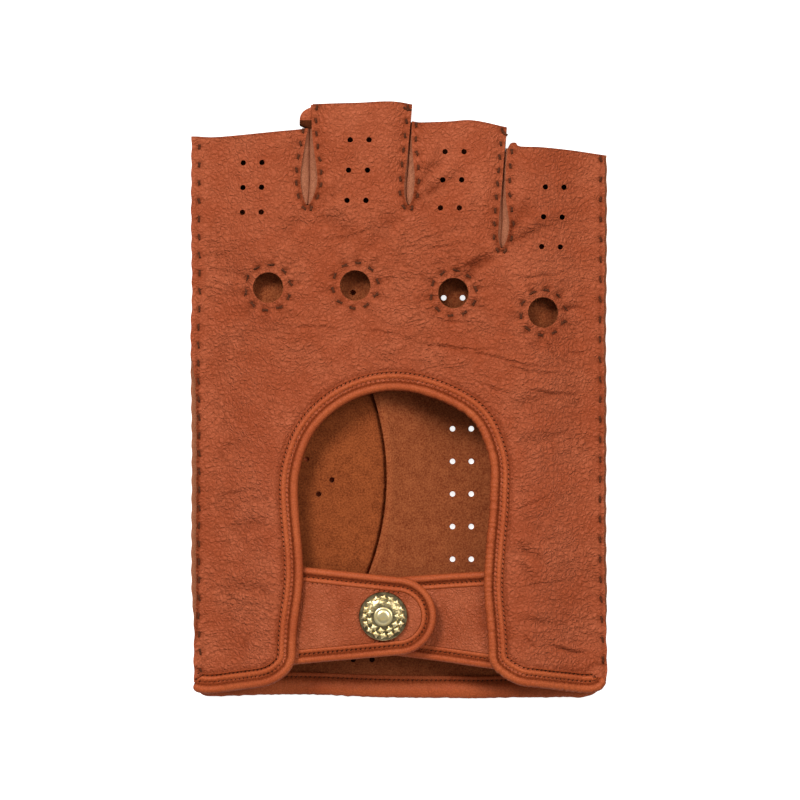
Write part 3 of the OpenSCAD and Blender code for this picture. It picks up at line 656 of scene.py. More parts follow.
# Worn folds as start, end, half width and depth; the first ones fan out from the slits
folds = [
    ((2.5, 49.5), (12, 64), 1.5, 0.9), ((3.5, 50), (18, 60), 1.2, 0.45), ((26, 39.5), (34, 52), 1.7, 1.0),
    ((27, 39), (45, 47), 1.4, 0.5), ((25.5, 37.6), (14, 31.5), 1.3, 0.6), ((1, 48), (-12, 36), 2.2, 0.45),
    ((24, 38), (8, 22), 2.4, 0.4), ((-22, 48), (-6, 38), 2.0, 0.4), ((-22.5, 48.5), (-13, 53), 1.1, 0.4),
    ((-24, 47), (-33, 38), 1.8, 0.4), ((30, -41), (38, -52), 1.2, 0.4), ((27, -36), (40, -44), 1.3, 0.4),
    ((27, -56), (45, -58), 1.1, 0.3), ((-30, -30), (-46, -34), 1.6, 0.35),
    ((-31, -50), (-47, -46), 1.4, 0.3), ((-40, -60), (-41, -70), 0.9, 0.3),
    ((28, -12), (46, -8), 1.5, 0.35), ((26, -2), (48, 3), 1.4, 0.3), ((-49, 2), (-44, 18), 1.2, 0.4),
    ((-48, -16), (-38, -9), 1.2, 0.3)]
# Ridges beside the slits as start, end, half width and height
slit_ridges = [
    ((27.6, 39.6), (36, 55), 0.8, 0.6), ((26.6, 37.6), (41, 45.5), 0.8, 0.4),
    ((4.6, 51.2), (12.5, 67), 0.8, 0.5), ((3.4, 48.6), (17, 57), 0.8, 0.35),
    ((-21.6, 49.4), (-11, 57), 0.8, 0.3), ((24, 37.6), (11, 33), 0.9, 0.4)]
# Thin creases as start, end and depth; they run nearly level across the middle of the back
thin_creases = [
    ((3, 13.4), (30, 12.6), 0.2), ((15, 12), (42, 7.2), 0.22), ((18, 4.4), (29, 1.7), 0.2),
    ((30, 2.6), (50, 1.0), 0.22), ((24, 9), (47, 5.0), 0.16), ((40, 23.8), (51, 22), 0.2),
    ((35.3, 15.8), (41.5, 8.0), 0.2), ((-9, 17.2), (6, 15.4), 0.16), ((-30, 19), (-12, 17), 0.14),
    ((22, 17.5), (36, 14.5), 0.14), ((6, 21), (24, 18.6), 0.16), ((42, 11), (51, 12.4), 0.18),
    ((37, -62.3), (51.5, -65.4), 0.35), ((30.5, -59.5), (36, -64.5), 0.2), ((28, -29), (40, -24), 0.16),
    ((30, -47.5), (47, -45), 0.16), ((-47, -25), (-33, -22), 0.14), ((-48, 36), (-36, 40), 0.14),
    ((-20, 40), (-6, 43.5), 0.14), ((6, 38), (20, 41), 0.16), ((29, 30), (46, 33.5), 0.16)]


def crease_wander(along, seed):
    """How far a crease strays from its straight line."""
    return 0.4 * np.sin(along * 0.32 + seed) + 0.14 * np.sin(along * 1.3 + 2 * seed)


def beside(x, y, start, end, stray):
    """Distance along a crease and to its left, and the crease's length."""
    (ax, ay), (bx, by) = start, end
    length = math.hypot(bx - ax, by - ay)
    ux, uy = (bx - ax) / length, (by - ay) / length
    along = (x - ax) * ux + (y - ay) * uy
    return along, (y - ay) * ux - (x - ax) * uy + stray * crease_wander(along, ax), length


def fold_depth(x, y):
    """Valleys along the worn folds, each with a low ridge on its side."""
    depth = np.zeros(len(x))
    thin = [(start, end, 0.36, 1.5 * drop) for start, end, drop in thin_creases]
    for start, end, width, drop in folds + thin:
        along, across, length = beside(x, y, start, end, 1)
        fade = ease(along / (0.25 * length)) * ease((length - along) / (0.6 * length))
        ridge = 0.7 * bell((across - 1.9 * width) / (1.2 * width))
        depth += 1.5 * drop * fade * (bell(across / width) - ridge)
    return depth


def ridges(x, y):
    """Sharp ridges that start at the slits, and the shade on the side of each that faces its slit."""
    height, shade = np.zeros(len(x)), np.zeros(len(x))
    for start, end, width, rise in slit_ridges:
        along, across, length = beside(x, y, start, end, 0.5)
        fade = ease(along / 2) * ease((length - along) / (0.7 * length))
        height += rise * fade * bell(across / width)
        shade += fade * bell((across - 1.7 * width) / (1.1 * width))
    return height, shade


def crease_lines():
    """The valley, flank and ridge of each thin crease, as lines for the mesh's edges."""
    lines = []
    for (ax, ay), (bx, by), _ in thin_creases:
        length = math.hypot(bx - ax, by - ay)
        ahead = np.array([bx - ax, by - ay]) / length
        along = np.arange(0.8, length - 0.8, 0.6)
        for aside in (-0.4, 0, 0.4, 0.8):
            off = aside - crease_wander(along, ax)
            lines.append([ax, ay] + along[:, None] * ahead + off[:, None] * [-ahead[1], ahead[0]])
    return lines


def slit_halves(number):
    """The two edges of a slit, each from its crotch up to the finger's end."""
    line = through(slits[number], 0.5)
    lowest = int(np.argmin(line[:, 1]))
    return line[:lowest + 1][::-1], line[lowest:]


# Where the hand stitches go, flat: along the side seams and the slits, and round the knuckle holes
hand_stitches, finger_stitches = [], {finger: [] for finger in fingers}
for line, side, root_y, finger in ((left_line, -1, finger_roots[0][0][1], "index"),
                                   (right_line, 1, finger_roots[3][-1][1], "little")):
    pitch = side_pitch[side]
    y = np.arange(math.ceil(-71 / pitch), math.ceil(line[-1, 1] / pitch)) * pitch
    inset = side_in[side] + 0.5 * (1 - side) * (1 - ease((y + 66) / 12))
    x = np.interp(y, line[:, 1], line[:, 0]) - side * inset
    hand_stitches.append(np.column_stack([x, y])[y < root_y])
    finger_stitches[finger].append(np.column_stack([x, y])[y >= root_y])
for number in range(3):
    for half, way, finger in zip(slit_halves(number), (1, -1), fingers[number:number + 2]):
        aside = half + way * slit_in * left_side(half)
        finger_stitches[finger].append(evenly(aside[1:-2], slit_pitch))
knuckle_turn = (np.arange(knuckle_stitches) + 0.3) * 2 * np.pi / knuckle_stitches
knuckle_ring = knuckle_stitch_r * circle(knuckle_turn)
knuckle_stitch_lines = [knuckle + knuckle_ring for knuckle in knuckles]
stitch_spots = np.vstack(hand_stitches + knuckle_stitch_lines + sum(finger_stitches.values(), []))


def knuckle_pucker(x, y):
    """Ridges that run out between the stitches round a knuckle hole."""
    rise = np.zeros(len(x))
    for kx, ky in knuckles:
        r = np.hypot(x - kx, y - ky)
        beat = np.cos(knuckle_stitches * (np.arctan2(y - ky, x - kx) - knuckle_turn[0]))
        rise -= bell((r - knuckle_stitch_r) / 1.1) * 0.14
        rise -= 0.2 * bell((r - 7.9) / 1.9) * beat
    return rise


def creases(x, y, size_x, size_y, seed):
    """Narrow wandering valleys, from 0 on the skin to 1 at their bottom."""
    bend_x = x + 1.6 * wavy(x, y, 6, 6, seed + 10)
    bend_y = y + 1.6 * wavy(x, y, 6, 6, seed + 20)
    return np.clip(1 - 3.0 * np.abs(wavy(bend_x, bend_y, size_x, size_y, seed)), 0, 1) ** 2


def back_relief(x, y):
    """Height of the back's creases, folds and puckers; the shade painted in them, beside the ridges, in the
    keyhole groove and along the seams and slits, and darker along the finger ends; and where the skin shows
    wear, which also places the shade painted in its wrinkles.
    """
    left_gap, right_gap = side_gaps(x, y)
    to_seam = np.minimum(left_gap, right_gap)
    to_keyhole = distance_to(keyhole[::4], x, y)
    to_slit, bottom = nearest_slit(x, y)
    loose = ease((to_seam - 1.5) / 6) * ease((to_keyhole - 4.4) / 5) * ease((to_slit - 1.2) / 4)
    # Where the skin shows wear it wrinkles, and these wrinkles also get painted shade
    worn_and_shaded = np.clip(0.75 + 0.6 * wavy(x, y, 26, 20, 3.1), 0, 1) * (1 - 0.45 * ease((y - 44) / 10))
    broad = 0.5 * wavy(x, y, 24, 18, 1.7) + 0.22 * wavy(x, y, 9, 7, 4.4)
    lines = worn_and_shaded * (0.16 * creases(x, y, 9, 3.2, 0.5) + 0.12 * creases(x, y, 5, 6.5, 5.5))
    valley = fold_depth(x, y)
    pull = bell(distance_to(stitch_spots, x, y) / 0.9)
    pucker = knuckle_pucker(x, y)
    groove = bell((to_keyhole - 4.2) / 0.45)
    ridge, shade = ridges(x, y)
    height = loose * (broad - lines - valley) + pucker - 0.3 * pull - 0.35 * groove + ridge
    # Painted shade in the creases, folds, stitch puckers and the groove beside the keyhole
    dark = loose * (0.5 * lines + 0.3 * np.clip(valley, 0, 0.6)) + 0.5 * pull + 0.35 * groove
    # More painted shade: on the puckers, in the open left seam, beside the slits, along the right seam's
    # stitches and on the shaded side of each ridge; darker also along the finger ends
    open_seam = ease((y + 66) / 10) * (1 - 0.85 * ease((y - over_band[0]) / over_band[1]))
    dark += np.maximum(-pucker - 0.06, 0) + 0.85 * open_seam * bell((left_gap - 0.3) / 0.4)
    dark += 0.45 * bell(distance_to(end_points, x, y) / 0.35)
    dark += 0.5 * bell((to_slit - 0.5) / 0.4) * (1 - ease((y - bottom - 4) / 9))
    dark += 0.3 * bell((right_gap - side_in[1]) / 0.35) + 0.3 * shade
    return height, np.clip(dark, 0, 0.85), worn_and_shaded * ease(to_seam / 3) * ease((to_keyhole - 4.2) / 2)


def finger_vents(finger):
    """Pairs of vents along a finger."""
    first, step = (np.array(v) for v in vents[finger])
    return [hole for k in range(vent_rows) for hole in vent_pair(*(first + k * step))]


# The back's cut edge is hidden under the rolled edge
under_roll = 0.9
back_edge = evenly((keyhole + keyhole_out * under_roll)[4:-4], back_step)
back_bottoms = (back_edge[0, 1] + 0.4, back_edge[-1, 1] + 0.4)
back_rings = [np.vstack([outline(back_step, back_bottoms, (band_w[0], 0), over_band), back_edge[::-1]])]
back_rings += [round_hole(kx, ky, knuckle_d, 0.45) for kx, ky in knuckles]
for finger in fingers:
    back_rings += finger_vents(finger)
back_flat, back_faces = flat_panel(back_rings, root_lines + crease_lines(), back_step)
back_low = back_under(*back_flat.T)
relief, crease, worn_and_shaded = back_relief(*back_flat.T)
back = leather_pieces(["back_panel"] + [f + "_back" for f in fingers], finger_owner(back_flat, back_faces),
                      back_flat, back_faces, back_low + leather_t + relief, back_low + 0.7 * relief,
                      [tan_nappa, brown_suede, raw_edge], {"crease": crease, "worn_and_shaded": worn_and_shaded})
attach(back["back_panel"], "hand")
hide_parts("back_panel")
bend_fingers(back, "_back")

# Finger side strips
# Each slit is lined by two narrow strips, the fourchettes, one on each stall. They're cut from the same hide
# and sewn in flesh side out, so two pale strips of suede meet in a dark line down the slit.
strip_t = 0.6
turn_in = 1.1
slant = 0.35
fold_share, flat_share = 0.35, 0.3
flap_flat, flap_round = 2.2, 2.9
# Name, slit, side of the slit, share of its width, and how far its end stands out past the next stall
strips = [("index_fourchette", 0, 1, 0.52, 0.0), ("middle_fourchette_index_side", 0, -1, 0.47, 2.7),
          ("middle_fourchette_ring_side", 1, 1, 0.2, 0.0), ("ring_fourchette_middle_side", 1, -1, 0.79, 0.0),
          ("ring_fourchette_little_side", 2, 1, 0.3, 0.0), ("little_fourchette", 2, -1, 0.69, 0.0)]


def outward(points, faces):
    """Turns all faces of a closed piece over where its volume comes out negative."""
    volume = 0.0
    for face in faces:
        corners = points[list(face)]
        for k in range(1, len(face) - 1):
            volume += np.dot(corners[0], np.cross(corners[k], corners[k + 1]))
    return faces if volume > 0 else [list(face)[::-1] for face in faces]


def slab(front, rear):
    """Points and faces of a closed slab between two like grids of points."""
    rows, columns = front.shape[:2]
    n = rows * columns
    number = np.arange(n).reshape(rows, columns)
    walls = np.stack([number[:-1, :-1], number[:-1, 1:], number[1:, 1:], number[1:, :-1]], -1).reshape(-1, 4)
    border = np.concatenate([number[0], number[1:, -1], number[-1, -2::-1], number[-2:0:-1, 0]])
    rim = np.column_stack([np.roll(border, -1), border, border + n, np.roll(border, -1) + n])
    points = np.vstack([front.reshape(-1, 3), rear.reshape(-1, 3)])
    return points, outward(points, list(walls) + list(walls[:, ::-1] + n) + list(rim))


pale_suede = suede_leather("pale_suede_strip", "#BC7A5A", "#8A5038", 0.3)
# A near-black suede that paints the shade in the fold of a strip's flap
deep_suede = suede_leather("shaded_suede", "#5E2E18", "#401C0C", 0.3)
for name, number, way, share, flare in strips:
    left, right = slit_halves(number)
    own, other = (left, right) if way > 0 else (right, left)
    y = np.linspace(own[0, 1] + 0.3, own[-1, 1] - 0.15, 46)
    edge_x = np.interp(y, own[:, 1], own[:, 0])
    width = way * (np.interp(y, other[:, 1], other[:, 0]) - edge_x)
    past_next = y - other[-1, 1]
    round_end = np.sqrt(np.clip(1 - (np.maximum(past_next - flap_flat, 0) / flap_round) ** 2, 0, 1))
    reach = share * width + flare * ease((past_next + 0.2) / 1.0) * round_end
    upper = back_under(edge_x - way, y) + 0.1
    lower = palm_under(edge_x - way, y) + leather_t - 0.1
    v = np.linspace(0, 1, 13)
    fold = np.minimum(np.minimum(v, 1 - v) / fold_share, 1)
    out = np.sin(fold * np.pi / 2)
    drop = turn_in * (1 - np.cos(fold * np.pi / 2))
    straight = np.clip((v - fold_share) / flat_share, 0, 1)
    rows = []
    for depth in (0, strip_t):
        x = edge_x[:, None] + way * (out * (reach[:, None] + 0.3) - 0.3 - depth)
        x += slant * straight * (1 - ease(past_next + 1.5))[:, None]
        tall = (upper - lower)[:, None] - 2 * turn_in
        z = upper[:, None] - np.where(v < 0.5, drop, 2 * turn_in - drop) - straight * tall
        rows.append(np.stack([x, np.repeat(y[:, None], len(v), 1), z], -1))
    points, faces = slab(*rows)
    # The flap's end is grained leather, and its fold gets painted shade
    past = np.array([points[list(face)][:, 1].mean() for face in faces]) - other[-1, 1]
    numbers = np.where((past > 1.9) & (flare > 0), 1, np.where((past > -0.2) & (flare > 0), 2, 0))
    strip = mesh_object(name, points, faces, [pale_suede, tan_nappa, deep_suede], numbers)
    bend_with(strip)
    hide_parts(name)

# Thread
# Brown waxed linen thread in four gauges: hand stitches down the side seams, round the knuckle holes and
# beside the slits, and fine machine stitches along the rolled edges.
# A gauge is a stitch's length and thread in millimetres, and its cross, lean and wander in degrees
side_gauge = (2.3, 0.45, 10, 6, 10)
finger_gauge = (1.8, 0.55, 16, 8, 18)
knuckle_gauge = (2.6, 0.5, 17, 0, 20)
machine_gauge = (0.85, 0.32, 0, 40, 8)


def stitch_nodes():
    """Two crossed threads at every point of a line."""
    tree = bpy.data.node_groups.new("stitches_along_a_seam", "GeometryNodeTree")
    kinds = {"Seam": "Geometry", "Material": "Material"}
    for name in ("Seam", "Length", "Thread", "Cross", "Lean", "Wander", "Material"):
        tree.interface.new_socket(name, in_out="INPUT", socket_type="NodeSocket" + kinds.get(name, "Float"))
    tree.interface.new_socket("Geometry", in_out="OUTPUT", socket_type="NodeSocketGeometry")
    given = add(tree, "NodeGroupInput").outputs
    curve = add(tree, "GeometryNodeMeshToCurve", {"Mesh": given["Seam"]})
    lie = add(tree, "FunctionNodeAlignRotationToVector",
              {"Vector": add(tree, "GeometryNodeInputTangent").outputs[0]}, axis="X")
    ball = add(tree, "GeometryNodeMeshUVSphere", {"Segments": 6, "Rings": 5, "Radius": 0.5})
    size = add(tree, "ShaderNodeCombineXYZ",
               {"X": given["Length"], "Y": given["Thread"], "Z": given["Thread"]})
    threads = add(tree, "GeometryNodeJoinGeometry")
    for way in (1.0, -1.0):
        spin = add(tree, "ShaderNodeCombineXYZ",
                   {"Z": calc(tree, "MULTIPLY_ADD", given["Cross"], way, given["Lean"])})
        one = add(tree, "GeometryNodeTransform", {"Geometry": ball.outputs[0], "Scale": size.outputs[0]})
        one = add(tree, "GeometryNodeTransform", {"Geometry": one.outputs[0], "Rotation": spin.outputs[0]})
        tree.links.new(one.outputs[0], threads.inputs[0])
    placed = add(tree, "GeometryNodeInstanceOnPoints",
                 {"Points": curve.outputs[0], "Instance": threads.outputs[0], "Rotation": lie.outputs[0]})
    # Of a random value's sockets, inputs 2 and 3 and output 1 are the plain numbers
    less = calc(tree, "MULTIPLY", given["Wander"], -1.0)
    stray = add(tree, "FunctionNodeRandomValue", {2: less, 3: given["Wander"], "Seed": 7}, data_type="FLOAT")
    loose = add(tree, "ShaderNodeCombineXYZ", {"Z": stray.outputs[1]})
    turned = add(tree, "GeometryNodeRotateInstances",
                 {"Instances": placed.outputs[0], "Rotation": loose.outputs[0]})
    plain = add(tree, "GeometryNodeRealizeInstances", {"Geometry": turned.outputs[0]})
    smooth = add(tree, "GeometryNodeSetShadeSmooth", {"Geometry": plain.outputs[0]})
    done = add(tree, "GeometryNodeSetMaterial",
               {"Geometry": smooth.outputs[0], "Material": given["Material"]})
    add(tree, "NodeGroupOutput", {"Geometry": done.outputs[0]})
    return tree


def grown(piece, tree, settings):
    """Makes the result of a geometry-nodes tree the piece's own plain mesh."""
    sockets = {item.name: item.identifier for item in tree.interface.items_tree if item.in_out == "INPUT"}
    modifier = piece.modifiers.new("repeats", "NODES")
    modifier.node_group = tree
    for key, value in settings.items():
        modifier[sockets[key]] = value
    made = bpy.data.meshes.new_from_object(piece.evaluated_get(bpy.context.evaluated_depsgraph_get()))
    piece.modifiers.clear()
    piece.data = made
    return piece


def sewn(name, lines, gauge, material):
    """A stitch of the gauge at each point of the lines."""
    mesh = bpy.data.meshes.new(name)
    starts = np.cumsum([0] + [len(line) for line in lines])
    edges = [(k, k + 1) for a, b in zip(starts, starts[1:]) for k in range(a, b - 1)]
    mesh.from_pydata((np.vstack(lines) * MM).tolist(), edges, [])
    piece = bpy.data.objects.new(name, mesh)
    bpy.context.scene.collection.objects.link(piece)
    settings = {key: size * MM for key, size in zip(("Length", "Thread"), gauge)}
    settings.update({key: math.radians(turn) for key, turn in zip(("Cross", "Lean", "Wander"), gauge[2:])})
    return grown(piece, stitch_tree, {**settings, "Material": material})


def back_top(x, y):
    """The back's grain side, with its creases."""
    return back_under(x, y) + leather_t + back_relief(x, y)[0]


def laid_on_back(line, lift):
    """A flat line, laid on the back's grain side."""
    return np.column_stack([line, back_top(*line.T) + lift])


def thread_material(name, light, dark):
    """Waxed thread, mottled by its twist."""
    material, tree = new_tree(name)
    place = add(tree, "ShaderNodeTexCoord").outputs["Object"]
    fibre = mottle(tree, place, 0.3, 2)["Fac"]
    tone = ramp(tree, fibre, [(0.35, linear(dark)), (0.7, linear(light))])
    return shaded(material, {"Base Color": tone, "Roughness": 0.7, "Specular IOR Level": 0.15})


brown_thread = thread_material("brown_waxed_thread", "#6A361C", "#3E1C0C")
dark_thread = thread_material("dark_machine_thread", "#5C2C16", "#381809")
stitch_tree = stitch_nodes()
side_thread = sewn("side_seam_thread", [laid_on_back(line, 0.12) for line in hand_stitches], side_gauge,
                   brown_thread)
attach(side_thread, "hand")
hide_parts("side_seam_thread")
# Two slits end in a knot
knots = {"index": [], "middle": [[(1.2, 73.9), (2.0, 73.6)]],
         "ring": [[(25.9, 68.1), (26.5, 67.4)]], "little": []}
for k, finger in enumerate(fingers):
    lines = finger_stitches[finger] + [np.array(knot) for knot in knots[finger]]
    thread = sewn(finger + "_thread", [laid_on_back(line, 0.1) for line in lines], finger_gauge, brown_thread)
    bend_with(thread)

# Knuckle holes
# Each hole is backed by a ring of leather inside the glove and hand sewn round with ten short crossed
# stitches, which draw the skin into small radial puckers.
ring_out = knuckle_d / 2 + 3.6
ring_step = 0.8
ring_rings = [round_hole(kx, ky, d, ring_step) for d in (2 * ring_out, knuckle_d - 0.2)
              for kx, ky in knuckles]
ring_flat, ring_faces = flat_panel(ring_rings, [], 0.9)
ring_top = back_under(*ring_flat.T) - 0.4
knuckle_rings = leather_piece("knuckle_rings", ring_flat, ring_faces, ring_top, ring_top - leather_t,
                              [brown_suede, brown_suede, raw_edge])
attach(knuckle_rings, "hand")
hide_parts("knuckle_rings")
knuckle_lines = [laid_on_back(line, 0.1) for line in knuckle_stitch_lines]
knuckle_thread = sewn("knuckle_thread", knuckle_lines, knuckle_gauge, brown_thread)
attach(knuckle_thread, "hand")
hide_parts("knuckle_thread")

# Rolled edge of the keyhole
# A strip of the same leather is rolled over a cord round the keyhole and along the back's cuff, turned flat
# and sewn down by two rows of machine stitches with a soft ridge between them.
machine_pitch = 1.2
row_1, row_2 = 1.8, 3.42
bead_degrees = np.linspace(320, 40, 15)
# The band beside the bead, as outward, up, and share of the puff that rises between two machine stitches
binding_band = [(1.2, 0.1, 0), (1.45, -0.16, 1), (1.75, -0.22, 0.5), (2.05, 0.02, 1), (2.35, 0.3, 0),
                (2.65, 0.42, 0), (2.95, 0.28, 0), (3.2, -0.04, 0), (3.42, -0.2, 0), (3.7, 0.06, 0.5),
                (3.95, -0.45, 0)]
binding_band = [(out, leather_t / 2 + up, puff) for out, up, puff in binding_band]
binding_band += [(2.6, -0.3, 0), (1.3, -0.5, 0)]
# Painted shade at each point of the band's section, darkest in its grooves
band_shade = [0.8, 0.55, 0.5, 0.15, 0, 0, 0.1, 0.5, 0.75, 0.2, 0.6, 0.3, 0.3]


def paint_shade(piece, darkness):
    """Paints shade into the grooves and round sides of a swept piece, given the painted shade at each point
    of its section.
    """
    mark = piece.data.attributes.new("crease", "FLOAT", "POINT")
    values = np.tile(darkness, len(piece.data.vertices) // len(darkness))
    mark.data.foreach_set("value", values.astype(np.float32))


def swept(line, outward, section):
    """Points and faces of a closed section, given as outward and up at each step, carried along a line."""
    rings = np.array([section(k) for k in range(len(line))])
    n = rings.shape[1]
    aside = outward[:, None, :] * rings[:, :, :1]
    points = line[:, None, :] + np.concatenate([aside, rings[:, :, 1:]], axis=2)
    k, s = np.meshgrid(np.arange(len(line) - 1), np.arange(n), indexing="ij")
    a, b = k * n + s, k * n + (s + 1) % n
    walls = np.stack([a, b, b + n, a + n], axis=-1).reshape(-1, 4)
    last = (len(line) - 1) * n
    return points.reshape(-1, 3), list(walls) + [np.arange(n)[::-1], last + np.arange(n)]


def rolled_section(degrees, r, band, along, wrinkle):
    """A roll and the band beside it, with its two stitch grooves and the ridge between them."""
    turn = np.radians(degrees)
    roll = r * (1 + wrinkle) * circle(turn)
    rise = 0.3 * (1 - math.cos(2 * math.pi * along / machine_pitch)) / 2
    return np.vstack([roll, [(out, up + puff * rise) for out, up, puff in band]])


def machine_rows(name, path, out, rows):
    """Machine stitches in the grooves beside a rolled edge, from how far out and how high each row lies."""
    lines = [np.column_stack([path[:, :2] + out * row, path[:, 2] + level]) for row, level in rows]
    piece = sewn(name, [evenly(line, machine_pitch) for line in lines], machine_gauge, dark_thread)
    return piece


keyhole_z = np.maximum(back_under(*keyhole.T) + leather_t / 2, seam_z + seam_gap + bead_r)
keyhole_path = np.column_stack([keyhole, keyhole_z])
wrinkles = [0.13 * noise.noise((k * edge_step / 0.7, 0.3, 0)) * (0.35 + ease((keyhole[k][0] + 5) / 15))
            for k in range(len(keyhole))]
from_end = np.minimum(np.arange(len(keyhole)), np.arange(len(keyhole))[::-1]) * edge_step
tip = np.sqrt(np.clip(1 - np.clip(1 - from_end / 1.4, 0, 0.98) ** 2, 0, 1))
points, faces = swept(keyhole_path, keyhole_out, lambda k: tip[k] * rolled_section(
    bead_degrees, bead_r, binding_band, k * edge_step, wrinkles[k]))
back_binding = mesh_object("back_binding", points, faces, [edge_nappa])
# Painted shade round the bead: its sides darker than its top
bead_shade = np.interp(bead_degrees, [40, 62, 85, 130, 175], [0.75, 0.25, 0, 0.15, 0.5])
paint_shade(back_binding, np.concatenate([bead_shade, band_shade]))
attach(back_binding, "hand")
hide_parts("back_binding")
binding_thread = machine_rows("back_binding_thread", keyhole_path, keyhole_out,
                              ((row_1, leather_t / 2 - 0.12), (row_2, leather_t / 2 - 0.06)))
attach(binding_thread, "hand")

# Palm hem
# The palm's cuff edge is folded over a strip and sewn flat, which leaves a smooth rounded band with one row
# of stitches above it.
hem_y = -cuff_reach + 1.8
hem_half_w, hem_half_t = 2.1, 1.1
hem_x = np.linspace(-half_w + 1.0, half_w - 1.4, 300)
hem_sag = 0.9 * ease((hem_x + 25) / 35) - 0.35 * ease((hem_x - 18) / 12) - 0.35
right_rise = 2.4 * ease((hem_x - 44.5) / 7) ** 2
left_rise = 0.8 * ease((-49 - hem_x) / 3)
hem_wave = 0.12 * np.sin(hem_x / 6)
hem_line = np.column_stack([hem_x, hem_y - (hem_sag - right_rise - left_rise) + hem_wave])
hem_z = np.maximum(hem_half_t, np.minimum(palm_under(*hem_line.T) + leather_t / 2, seam_z - 1.2))
hem_end = np.sqrt(np.clip(1 - (1 - (half_w - 0.9 - np.abs(hem_x)) / 2.2) ** 2, 0.03, 1))
hem_end[np.abs(hem_x) < half_w - 3.1] = 1
hem_puff = [1 + 0.08 * noise.noise((x / 1.3, 0.4, 5)) for x in hem_x]
hem_path, hem_in = np.column_stack([hem_line, hem_z]), left_side(hem_line)
hem_degrees = np.linspace(320, 30, 16)
hem_turn = np.radians(hem_degrees)
hem_roll = np.column_stack([hem_half_w * np.cos(hem_turn), hem_half_t * np.sin(hem_turn)])
hem_flap = np.array([(2.3, 0.55), (2.5, 0.5), (2.8, 0.66), (3.4, 0.64), (3.6, 0.46), (2.2, -0.4)])
points, faces = swept(hem_path, hem_in, lambda k: np.vstack([hem_roll * hem_puff[k], hem_flap]) * hem_end[k])
palm_hem = mesh_object("palm_hem", points, outward(points, faces), [edge_nappa])
# Painted shade on the hem: its roll darker at the edges than on top, and darker on the flap
hem_shade = np.interp(hem_degrees, [30, 55, 90, 145, 185], [0.45, 0.1, 0, 0.1, 0.6])
paint_shade(palm_hem, np.concatenate([hem_shade, [0.6, 0.7, 0.2, 0.05, 0.4, 0.3]]))
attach(palm_hem, "hand")
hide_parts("palm_hem")
hem_thread = machine_rows("palm_hem_thread", hem_path, hem_in, ((2.5, 0.52),))
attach(hem_thread, "hand")

# Thumb
# The thumb stall is a flat tube of two leathers, sewn at its sides and let into the palm by a gusset. In the
# photo it lies folded under the palm, and only the gusset's suede shows, left of its curved seam.
fold_x, fold_y = -48.4, -13
thumb_sides = [[(fold_x, -33), (-40, -31.5), (-28, -29.5), (-17, -25), (-8.5, -10), (-1.8, 19.5)],
               [(-1.8, 19.5), (-12, 28), (-22.6, 36.7)],
               [(-22.6, 36.7), (-33, 21.5), (-41, 10), (fold_x, 5)],
               [(fold_x, 5), (fold_x, -33)]]
thumb_step = 0.8
thumb_flat, thumb_faces = flat_panel([ring_of(thumb_sides, thumb_step)], [], 0.9)
tx, ty = thumb_flat.T
to_side = np.minimum(*(distance_to(through(thumb_sides[k], thumb_step), tx, ty) for k in (0, 2)))
swell = 2.4 * (1 - ease(to_side / 9)) ** 2
loose = ease(to_side / 6)
at_root = 1 - ease((tx - fold_x) / 5)
palm_above = palm_under(tx, ty)
ceiling = np.minimum(palm_above - 2.4, 6.0 - swell) + 0.25 * wavy(tx, ty, 9, 9, 6.2) * loose
ceiling = ceiling * (1 - at_root) + (palm_above - leather_t - 0.05) * at_root
ground = np.maximum(0, swell - 0.1) + 0.3 * (1 + wavy(tx, ty, 8, 8, 9.2)) * loose
ground = ground * (1 - at_root) + (palm_above - 2 * leather_t - 0.1) * at_root
for name, under, leather in [("thumb_upper", ceiling, [tan_nappa, brown_suede, raw_edge]),
                             ("thumb_lower", ground, [brown_suede, tan_nappa, raw_edge])]:
    side = leather_piece(name, thumb_flat, thumb_faces, under + leather_t, under, leather)
    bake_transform(side)
    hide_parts(name)

# The gusset fills the palm's opening and laps under the palm all round it
gusset_vents = [(-17.6, -20.5), (-21, -24.1), (-24, -15.2)]
gusset_lap = 3.0
gusset_x = -43.0
gusset_past = 1.6
gusset_step = 0.9
bow = quirk_line(gusset_lap)
bow = np.vstack([bow[0] - [0, gusset_past], bow[1:-1], bow[-1] + [0, gusset_past]])
gusset_low, gusset_high = (gusset_x, bow[0, 1]), (gusset_x, bow[-1, 1])
gusset_sides = [np.vstack([bow[:-1:4], bow[-1:]]), [bow[-1], gusset_high], [gusset_high, gusset_low],
                [gusset_low, bow[0]]]
gusset_rings = [ring_of(gusset_sides, gusset_step)]
gusset_rings += [round_hole(x, y, vent_d, vent_step) for x, y in gusset_vents]
trough_lines = [quirk_line(aside)[1:-1] for aside in (0.5, 0.1, -0.25, -0.6, -1.1)]
gusset_flat, gusset_faces = flat_panel(gusset_rings, trough_lines, gusset_step)
gx, gy = gusset_flat.T
gusset_soft = 0.3 * wavy(gx, gy, 9, 14, 3.3) - 0.3 + 0.9 * ease((-29 - gx) / 7)
trough = 1.5 * bell(distance_to(quirk_line(0), gx, gy) / 0.42)
past_edge = np.max([np.hypot(gx - quirk_x + quirk_r, gy - quirk_y) - quirk_r - 0.8, thumb_hole_y[0] - gy,
                    gy - thumb_hole_y[1], thumb_hole_left - gx], axis=0)
lapped = ease((past_edge - 0.1) / 1.2)
gusset_top = palm_under(gx, gy) + lapped * (palm_relief(gx, gy) + 0.45)
gusset_top += (1 - lapped) * (gusset_soft - 0.28 - trough)
dark_suede = suede_leather("gusset_suede", "#AA592F", "#6E3319", 0.42)
thumb_gusset = leather_piece("thumb_gusset", gusset_flat, gusset_faces, gusset_top, gusset_top - leather_t,
                             [dark_suede, tan_nappa, raw_edge])
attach(thumb_gusset, "hand")
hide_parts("thumb_gusset")

